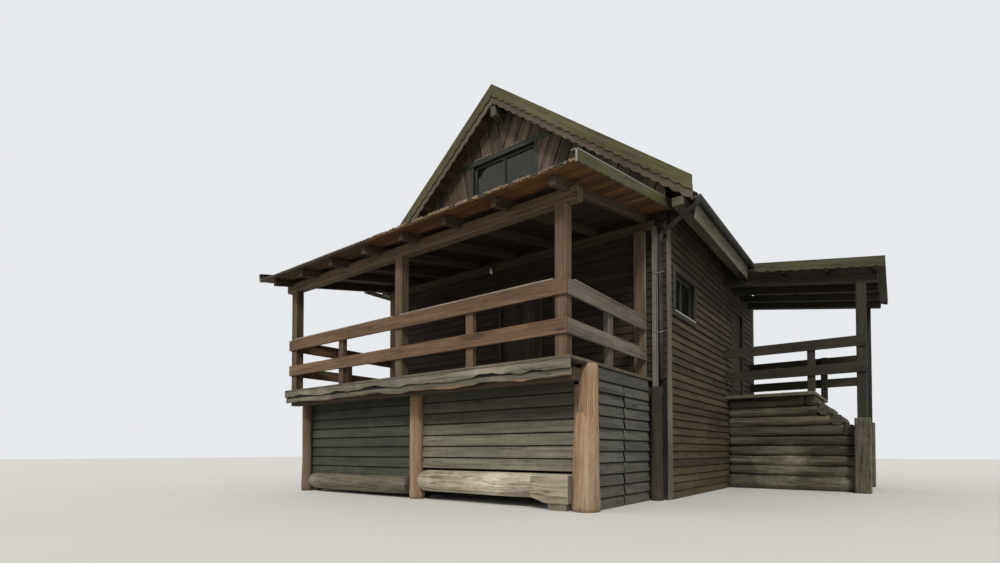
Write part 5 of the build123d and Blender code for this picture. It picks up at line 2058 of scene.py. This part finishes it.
@dataclass(frozen=True)
class Pipes:
    """Downpipes with bends and clamps, the gutters' brackets and a thin pipe at the corner."""

    radius: float = 0.037
    right: tuple[Vector, ...] = (
        Vector((4.007, 1.888, 4.560)), Vector((4.007, 1.888, 4.505)),
        Vector((3.341, 2.131, 4.274)), Vector((3.341, 2.131, 1.925)),
    )
    left: tuple[Vector, ...] = (
        Vector((-3.727, 8.381, 4.560)), Vector((-3.727, 8.381, 4.20)),
        Vector((-3.215, 8.381, 4.00)), Vector((-3.215, 8.381, 0.15)),
    )
    thin: tuple[Vector, ...] = (Vector((3.297, 2.098, 1.80)), Vector((3.297, 2.098, 4.40)))
    upright: Box = Box(Vector((3.214, 2.085, 1.802)), Vector((3.280, 2.118, 4.42)))
    lath: Box = Box(Vector((3.077, 2.088, 1.952)), Vector((3.110, 2.112, 4.36)))
    bend: float = 0.09
    thin_radius: float = 0.010
    clamps: tuple[float, ...] = (2.55, 3.85)
    clamp: tuple[float, float] = (0.005, 0.028)
    lug: tuple[float, float, float] = (0.02, 0.03, 0.02)
    lug_inward: float = 0.03
    elbow: tuple[float, float] = (0.004, 0.06)
    elbow_drop: float = 0.10
    spout: tuple[float, float] = (0.005, 0.05)
    spout_drop: float = 0.02
    strap_levels: tuple[float, ...] = (2.70, 3.66)
    strap_ends: tuple[float, ...] = (3.222, 3.29, 3.392, 3.405)
    strap_radius: float = 0.0045
    gutter_level: float = 4.604
    gutter_x: float = 3.867
    gutter_radius: float = 0.057
    bracket_radius: float = 0.0585
    bracket_width: float = 0.022
    bracket_spacing: float = 0.62
    roof: Roof = Roof()

    def _collar(self, mesh: Mesh, x: float, y: float, z: float, collar: tuple[float, float]) -> None:
        """Add a short collar round an upright pipe, given how far it stands out and its height."""
        middle, (proud, height) = Vector((x, y, z)), collar
        tube(mesh, [middle - UP * height / 2, middle + UP * height / 2], self.radius + proud)

    def build(self) -> None:
        """Make pipes, clamps and brackets."""
        mesh = bmesh.new()
        for route, back in ((self.right, BACK), (self.left, RIGHT)):
            tube(mesh, rounded(route, self.bend), self.radius)
            start, _, head, foot = route
            for level in self.clamps:
                self._collar(mesh, foot.x, foot.y, level, self.clamp)
                made = bmesh.ops.create_cube(mesh, size=1.0)
                lug = Matrix.Translation(Vector((foot.x, foot.y, level)) + back * self.lug_inward)
                shape = lug @ Matrix.Diagonal((*self.lug, 1.0))
                bmesh.ops.transform(mesh, matrix=shape, verts=made["verts"])
            self._collar(mesh, foot.x, foot.y, head.z - self.elbow_drop, self.elbow)
            self._collar(mesh, start.x, start.y, start.z - self.spout_drop, self.spout)
        settle("downpipes_round", mesh, BLACK, Slot.BLACK_METAL, "downpipes")
        thin = bmesh.new()
        tube(thin, list(self.thin), self.thin_radius, 14)
        settle("thin_corner_pipe", thin, GREY_PIPE, Slot.BLACK_METAL)
        self._straps()
        board = Timberwork("upright_board_by_pipe", 211)
        board.timber(self.upright, 0.004, 0.003, 0.6)
        board.timber(self.lath, 0.003, 0.001, 0.4)
        board.finish(PALE_BOARD, Slot.FASCIA_TIMBER)
        self._brackets()

    def _straps(self) -> None:
        """Bend the wires that hold the right pipe and the thin pipe beside it."""
        mesh = bmesh.new()
        spot = self.right[3]
        first, second, fourth, last = self.strap_ends
        for level in self.strap_levels:
            bow = [
                Vector((first, spot.y - 0.052, level)), Vector((second, spot.y - 0.056, level - 0.022)),
                Vector((spot.x, spot.y - 0.045, level - 0.02)), Vector((fourth, spot.y - 0.02, level)),
                Vector((last, spot.y + 0.02, level + 0.004)),
            ]
            tube(mesh, rounded(bow, 0.03), self.strap_radius, 10)
        settle("pipe_straps", mesh, CLAMP, Slot.BLACK_METAL)

    def _brackets(self) -> None:
        """Make the straps that carry the gutters and the gutters' end caps."""
        mesh = bmesh.new()
        level, turn = self.gutter_level, Matrix.Rotation(math.pi / 2, 4, "X")
        for side in (-1, 1):
            x = self.roof.centre + side * self.gutter_x
            y = self.roof.front + 0.25
            while y < self.roof.rear:
                made = bmesh.ops.create_cone(
                    mesh, cap_ends=False, segments=24, radius1=self.bracket_radius,
                    radius2=self.bracket_radius, depth=self.bracket_width,
                    matrix=Matrix.Translation((x, y, level)) @ turn,
                )
                upper = [vert for vert in made["verts"] if vert.co.z > level + 0.002]
                bmesh.ops.delete(mesh, geom=upper, context="VERTS")
                y += self.bracket_spacing
            for y in (self.roof.front + 0.002, self.roof.rear - 0.002):
                made = bmesh.ops.create_circle(
                    mesh, cap_ends=True, segments=32, radius=self.gutter_radius,
                    matrix=Matrix.Translation((x, y, level)) @ turn,
                )
                cap = {item for vert in made["verts"] for item in (vert, *vert.link_edges, *vert.link_faces)}
                bmesh.ops.bisect_plane(
                    mesh, geom=list(cap), plane_co=(0, 0, level), plane_no=UP, clear_outer=True,
                )
        settle("gutter_brackets", mesh, BLACK, Slot.BLACK_METAL)


@dataclass(frozen=True)
class Doors:
    """Plank doors with their frames and handles."""

    front: Span = (0.11, 1.01, 1.95, 3.95)
    side: Span = (6.31, 7.21, 1.95, 3.95)
    front_face: float = 2.21
    side_face: float = 3.39
    plank: float = 0.112
    plank_gap: float = 0.004
    plank_proud: float = 0.012
    ledge: tuple[float, float] = (0.10, 0.014)
    ledge_inset: float = 0.06
    ledge_levels: tuple[float, float] = (0.22, 0.32)
    frame: float = 0.07
    frame_proud: float = 0.062
    handle: tuple[float, float] = (0.13, 1.02)
    handle_proud: float = 0.028
    handle_radius: float = 0.009
    plate: tuple[float, float, float] = (0.22, 0.035, 0.004)
    plate_shift: float = 0.02
    spindle_level: float = 0.13
    spindle: float = 0.055
    grip_reach: float = 0.05
    grip: float = 0.11

    def _door(self, work: Timberwork, metal: Timberwork, span: Span, origin: Vector, out: Vector) -> None:
        """Add one door.

        Args:
            work: the timber.
            metal: the ironwork.
            span: its opening, along the wall and upright.
            origin: foot of the opening's first corner on the leaf's face.
            out: the way it faces.
        """
        along = UP.cross(out)
        wide, high = span[1] - span[0], span[3] - span[2]
        count = round(wide / self.plank)
        plank = wide / count - self.plank_gap
        for index in range(count):
            low = origin + along * (index * wide / count + self.plank_gap / 2)
            place = axes(UP, out, low + along * plank)
            work.board(place, (high, plank, self.plank_proud), 0.003, 3, 0.001)
        foot, head = self.ledge_levels
        for level in (foot, high / 2, high - head):
            corner = origin + along * self.ledge_inset + UP * level + out * self.plank_proud
            work.board(axes(along, out, corner), (wide - 2 * self.ledge_inset, *self.ledge), 0.003, 1, 0.001)
        for start in (0.0, wide + self.frame):
            place = axes(UP, out, origin + along * start)
            work.board(place, (high + self.frame, self.frame, self.frame_proud), 0.003, 2, 0.001)
        place = axes(along, out, origin + UP * high)
        work.board(place, (wide, self.frame, self.frame_proud), 0.003, 1, 0.001)
        inset, level = self.handle
        hand = origin + along * (wide - inset) + UP * level + out * self.handle_proud
        metal.board(axes(UP, out, hand + along * self.plate_shift), self.plate, 0.001)
        radii, rise = (self.handle_radius, self.handle_radius), UP * self.spindle_level
        metal.log(hand + rise, hand + out * self.spindle + rise, radii, 0.0, 12)
        grip = hand + out * self.grip_reach + rise
        metal.log(grip, grip - along * self.grip, radii, 0.0, 12)

    def build(self) -> None:
        """Make both doors."""
        work = Timberwork("plank_doors", 131)
        metal = Timberwork("door_handles", 137)
        self._door(work, metal, self.front, Vector((self.front[0], self.front_face, self.front[2])), -BACK)
        self._door(work, metal, self.side, Vector((self.side_face, self.side[0], self.side[2])), RIGHT)
        work.finish(DOOR, Slot.DARK_TIMBER)
        metal.finish(BLACK, Slot.BLACK_METAL)


@dataclass(frozen=True)
class WallLamp:
    """The small pale lamp on the wall behind the veranda."""

    place: Vector = Vector((-0.10, 2.10, 4.40))
    radius: float = 0.032
    stretch: float = 2.2
    socket_radius: float = 0.022
    arm_radius: float = 0.006

    def build(self) -> None:
        """Make the lamp and its bracket."""
        glass = bmesh.new()
        made = bmesh.ops.create_uvsphere(glass, u_segments=24, v_segments=14, radius=self.radius)
        bmesh.ops.scale(glass, vec=(1.0, 1.0, self.stretch), verts=made["verts"])
        bmesh.ops.translate(glass, vec=self.place, verts=made["verts"])
        for face in glass.faces:
            face.smooth = True
        settle("veranda_lamp_glass", glass, LAMP, Slot.WINDOW_GLASS)
        iron = bmesh.new()
        top = self.place + UP * (self.radius * 2.0)
        tube(iron, [top - UP * 0.004, top + UP * 0.025], self.socket_radius)
        arm = [top + UP * 0.02, top + UP * 0.04, top + UP * 0.04 + BACK * 0.07]
        tube(iron, rounded(arm, 0.015), self.arm_radius, 12)
        settle("veranda_lamp_bracket", iron, BLACK, Slot.BLACK_METAL)


@dataclass(frozen=True)
class Porch:
    """The entrance on the right-hand side: floor, roof and the stepped log crib."""

    left: float = 3.446
    floor_right: float = 5.085
    front: float = 5.65
    rear: float = 8.04
    deck: float = 1.95
    floor: float = 0.06
    course: float = 0.2
    courses: int = 9
    steps: int = 4
    run: float = 0.216
    crib_front: float = 5.867
    crib_rear: float = 7.823
    crib_width: float = 0.2
    side_girths: tuple[float, ...] = (1.06, 0.98, 1.04, 1.0, 1.07)
    front_girths: tuple[float, ...] = (1.06, 0.99, 1.06)
    step_radii: tuple[float, ...] = (0.110, 0.102, 0.108, 0.104)
    board_width: float = 0.145
    roof_pitch: float = math.radians(8.7)
    roof_board_width: float = 0.13
    roof_board: float = 0.021
    wave: float = 0.177
    wave_depth: float = 0.024

    def build(self) -> None:
        """Make the crib, the steps, the floor and the roof boards."""
        top_level = self.deck - self.floor
        crib = Timberwork("crib_logs_hewn", 139)
        half = self.crib_width / 2
        end = self.floor_right + (self.steps - 1) * self.run
        for course in range(self.courses):
            top = top_level - course * self.course
            bottom = top - self.course if course < self.courses - 1 else 0.0
            reach = min(self.floor_right + (course - 1) * self.run, end)
            middle, high = (top + bottom) / 2, (top - bottom) / 2
            for y in (self.crib_front + half, self.crib_rear - half):
                crib.log(
                    Vector((self.left, y, middle)), Vector((reach, y, middle)),
                    [high * part for part in self.side_girths], 0.017, 24, (-high, high),
                )
            if course >= self.steps:
                crib.log(
                    Vector((end - half, self.crib_front + self.crib_width, middle)),
                    Vector((end - half, self.crib_rear - self.crib_width, middle)),
                    [high * part for part in self.front_girths], 0.015, 24, (-high, high),
                )
        crib.finish(CRIB, Slot.LOG_WOOD, "log_crib")
        steps = Timberwork("step_logs_hewn", 149)
        for course in range(self.steps):
            top = top_level - course * self.course
            back = self.floor_right + (course - 1) * self.run
            middle = Vector((back + self.run / 2, self.crib_front, top - self.course / 2))
            far = middle + BACK * (self.crib_rear - self.crib_front)
            steps.log(middle, far, self.step_radii, 0.015, 28, (-self.course / 2, self.course / 2))
        steps.finish(CRIB, Slot.LOG_WOOD, "log_steps")
        place = axes(BACK, UP, Vector((self.floor_right, self.front, top_level)))
        Boarding(
            "porch_floor_boards", place, self.rear - self.front, self.floor_right - self.left,
            self.board_width, self.floor, DECK, Slot.DARK_TIMBER, 151, ("porch_floor",), 0.006, 3.2, 0.004,
        ).build()
        self._roof()

    def _roof(self) -> None:
        """Lay boards and sheet on the porch roof's own slab."""
        box = Box(*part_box("porch_roof"))
        tilt = math.cos(self.roof_pitch)
        out = Vector((math.sin(self.roof_pitch), 0, tilt))
        run = box.size.x / tilt
        corner = Vector((box.high.x, box.low.y, box.low.z))
        Boarding(
            "porch_roof_boards", axes(BACK, out, corner), box.size.y, run, self.roof_board_width,
            self.roof_board, UNDER_DARK, Slot.DARK_TIMBER, 157, ("porch_roof",), 0.003, 2.9,
        ).build()
        corner.z = box.low.z + (self.roof_board + 0.001) / tilt
        SheetRoof(
            "porch_sheets", ((axes(BACK, out, corner), box.size.y, run),), self.wave, self.wave_depth,
            SHEET, 163, (), 8, 5, 3.0,
        ).build()


@dataclass(frozen=True)
class Dressing:
    """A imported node, or some of its solids, kept in shape with rounded edges and its own grain."""

    node: str
    finish: Finish
    slot: Slot
    bevel: float = 0.005
    wanted: Optional[Region] = None
    suffix: str = "dressed"
    edge: Optional[Profile] = None

    def build(self, seed: int) -> None:
        """Make the piece.

        Args:
            seed: start of its random numbers.
        """
        work = Timberwork(f"{self.node}_{self.suffix}", seed)
        work.node(self.node, self.bevel, self.wanted, self.edge)
        work.finish(self.finish, self.slot, self.node)


# Where the house's right wall, the veranda's right rails and the gables begin
RIGHT_WALL = 3.45
SIDE_RAILS = 2.9
GABLE_FOOT = 5.0


def at_front(spot: Vector) -> bool:
    """Whether a solid stands in the veranda's front row."""
    return spot.y < 0.0


def behind_front(spot: Vector) -> bool:
    """Whether a solid stands behind the veranda's front row."""
    return spot.y >= 0.0


def left_of_porch(spot: Vector) -> bool:
    """Whether a solid stands at the veranda's side of the cabin's right wall."""
    return spot.x < RIGHT_WALL


def at_right_side(spot: Vector) -> bool:
    """Whether a solid belongs to the rails along the veranda's right end."""
    return SIDE_RAILS < spot.x < RIGHT_WALL and spot.y > 0.0


def by_veranda(spot: Vector) -> bool:
    """Whether a solid belongs to the veranda's other rails."""
    return left_of_porch(spot) and not at_right_side(spot)


def by_porch(spot: Vector) -> bool:
    """Whether a solid stands at the small entrance."""
    return spot.x >= RIGHT_WALL


def in_gable(spot: Vector) -> bool:
    """Whether a solid lies above the eaves."""
    return spot.z > GABLE_FOOT


def below_gable(spot: Vector) -> bool:
    """Whether a solid lies below the eaves."""
    return spot.z <= GABLE_FOOT


@dataclass(frozen=True)
class Studio:
    """Pale floor, pale background, soft light and the photograph's camera."""

    eye: Vector = Vector((6.320, -6.029, 0.78))
    yaw: float = math.radians(37.337)
    pitch: float = math.radians(1.349)
    lens: float = 18.71
    sensor: float = 36.0
    shift: float = 0.1574
    floor_half: float = 60.0
    floor_colours: tuple[Colour, Colour] = ((0.62, 0.62, 0.60), (0.66, 0.66, 0.64))
    light: Colour = (1.0, 0.985, 0.955)
    light_strength: float = 0.60
    background: Colour = (0.80, 0.82, 0.84)
    lamp_colour: Colour = (1.0, 0.96, 0.90)

    def build(self) -> None:
        """Set up everything that isn't the cabin."""
        mesh = bmesh.new()
        bmesh.ops.create_grid(mesh, x_segments=4, y_segments=4, size=self.floor_half)
        data = bpy.data.meshes.new("floor")
        mesh.to_mesh(data)
        mesh.free()
        graph = Graph("pale_floor")
        cloud = graph.noise(graph.place(), 0.4, 3.0)
        data.materials.append(graph.finish(graph.mix(*self.floor_colours, cloud), 0.85 + cloud * 0.1))
        floor = bpy.data.objects.new("studio_floor", data)
        bpy.context.scene.collection.objects.link(floor)
        self._world()
        self._lamps()
        camera = bpy.data.cameras.new("photo_camera")
        camera.lens, camera.sensor_width, camera.shift_y = self.lens, self.sensor, self.shift
        seat = bpy.data.objects.new("photo_camera", camera)
        seat.location = self.eye
        seat.rotation_euler = (math.pi / 2 + self.pitch, 0.0, self.yaw)
        bpy.context.scene.collection.objects.link(seat)
        bpy.context.scene.camera = seat
        bpy.context.scene.view_settings.view_transform = "Standard"

    def _world(self) -> None:
        """A pale background for the camera and an even light from all sides."""
        world = bpy.data.worlds.new("studio")
        bpy.context.scene.world = world
        world.use_nodes = True
        tree = world.node_tree
        tree.nodes.clear()
        path = tree.nodes.new("ShaderNodeLightPath")
        lit = tree.nodes.new("ShaderNodeBackground")
        seen = tree.nodes.new("ShaderNodeBackground")
        blend = tree.nodes.new("ShaderNodeMixShader")
        output = tree.nodes.new("ShaderNodeOutputWorld")
        lit.inputs[0].default_value = (*self.light, 1.0)
        lit.inputs[1].default_value = self.light_strength
        seen.inputs[0].default_value = (*self.background, 1.0)
        tree.links.new(path.outputs["Is Camera Ray"], blend.inputs[0])
        tree.links.new(lit.outputs[0], blend.inputs[1])
        tree.links.new(seen.outputs[0], blend.inputs[2])
        tree.links.new(blend.outputs[0], output.inputs[0])

    def _lamps(self) -> None:
        """A broad soft sun from the front right and a weaker fill."""
        for name, turn, power, spread in (
            ("key", (math.radians(52), 0.0, math.radians(28)), 2.1, 12.0),
            ("fill", (math.radians(68), 0.0, math.radians(-48)), 0.5, 40.0),
        ):
            lamp = bpy.data.lights.new(name, "SUN")
            lamp.energy, lamp.angle = power, math.radians(spread)
            lamp.color = self.lamp_colour
            seat = bpy.data.objects.new(name, lamp)
            seat.rotation_euler = turn
            bpy.context.scene.collection.objects.link(seat)


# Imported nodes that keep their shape, with rounded edges
SQUARED = (
    Dressing("skirt_posts", SKIRT_POST, Slot.DARK_TIMBER),
    Dressing("deck_beams", BEAM, Slot.DARK_TIMBER, 0.006),
    Dressing("deck_joists", DARK, Slot.DARK_TIMBER, 0.004),
    Dressing("veranda_posts", POST, Slot.DARK_TIMBER, 0.009),
    Dressing("veranda_beams", POST, Slot.DARK_TIMBER, 0.009, at_front),
    Dressing("veranda_beams", BEAM, Slot.DARK_TIMBER, 0.009, behind_front, "rear"),
    Dressing("rails", RAIL, Slot.RAIL_TIMBER, 0.005, by_veranda),
    Dressing("rails", SIDE_RAIL, Slot.RAIL_TIMBER, 0.005, at_right_side, "side"),
    Dressing("rails", PORCH_WOOD, Slot.RAIL_TIMBER, 0.005, by_porch, "porch"),
    Dressing("rail_caps", RAIL_CAP, Slot.RAIL_TIMBER, 0.004, left_of_porch),
    Dressing("balusters", RAIL, Slot.RAIL_TIMBER, 0.006, by_veranda),
    Dressing("balusters", SIDE_RAIL, Slot.RAIL_TIMBER, 0.006, at_right_side, "side"),
    Dressing("balusters", PORCH_WOOD, Slot.RAIL_TIMBER, 0.006, by_porch, "porch"),
    Dressing("veranda_rafters", BEAM, Slot.DARK_TIMBER, 0.004),
    Dressing("roof_beams", CORNER, Slot.DARK_TIMBER, 0.006),
    Dressing("roof_rafters", DARK, Slot.DARK_TIMBER, 0.004),
    Dressing("eave_boards", CORNER, Slot.DARK_TIMBER, 0.003),
    Dressing("window_frames", PAINTED, Slot.WINDOW_PAINT, 0.003),
    Dressing("window_trims", PAINTED, Slot.WINDOW_PAINT, 0.003, in_gable),
    Dressing("window_trims", SIDE_TRIM, Slot.WINDOW_PAINT, 0.003, below_gable, "side"),
    Dressing("porch_posts", PORCH_WOOD, Slot.DARK_TIMBER, 0.009),
    Dressing("porch_beams", PORCH_WOOD, Slot.DARK_TIMBER, 0.006),
    Dressing("porch_roof_joists", DARK, Slot.DARK_TIMBER, 0.004),
    Dressing("porch_fascias", PORCH_FASCIA, Slot.DARK_TIMBER, 0.003, edge=scallops(0.2, 0.02)),
    Dressing("porch_bases", CRIB, Slot.LOG_WOOD, 0.012),
)

# Imported nodes that stay as they are and get a finish of their own; the walls, gables and skirts behind the
# boards are near black as painted shade
COATED = (
    ("house_floors", DARK), ("front_wall", SHADOW_BACKING), ("right_wall", SHADOW_BACKING), ("left_wall", SHADOW_BACKING),
    ("rear_wall", SHADOW_BACKING), ("gables", SHADOW_BACKING), ("skirts", SHADOW_BACKING), ("doors", DOOR),
    ("window_glass", GLASS), ("gutters", BLACK), ("ridge_cap", SHEET),
)


def main() -> None:
    """Build the cabin's looks in order."""
    logging.basicConfig(level=logging.INFO, format="%(name)s: %(message)s")
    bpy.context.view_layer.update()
    for name in frame["nodes"]:
        coat(name, DARK)
    for name, finish in COATED:
        coat(name, finish)
    Logs().build()
    Skirts().build()
    Deck().build()
    for index, dressing in enumerate(SQUARED):
        dressing.build(200 + index)
    Walls().build()
    Gable(2.18, -BACK, 171).build("front_gable")
    Gable(8.46, BACK, 173).build("rear_gable")
    Roof().build()
    Bargeboards().build()
    VerandaRoof().build()
    Litter().build()
    Pipes().build()
    Doors().build()
    WallLamp().build()
    Porch().build()
    Studio().build()


if __name__ == "__main__":
    main()
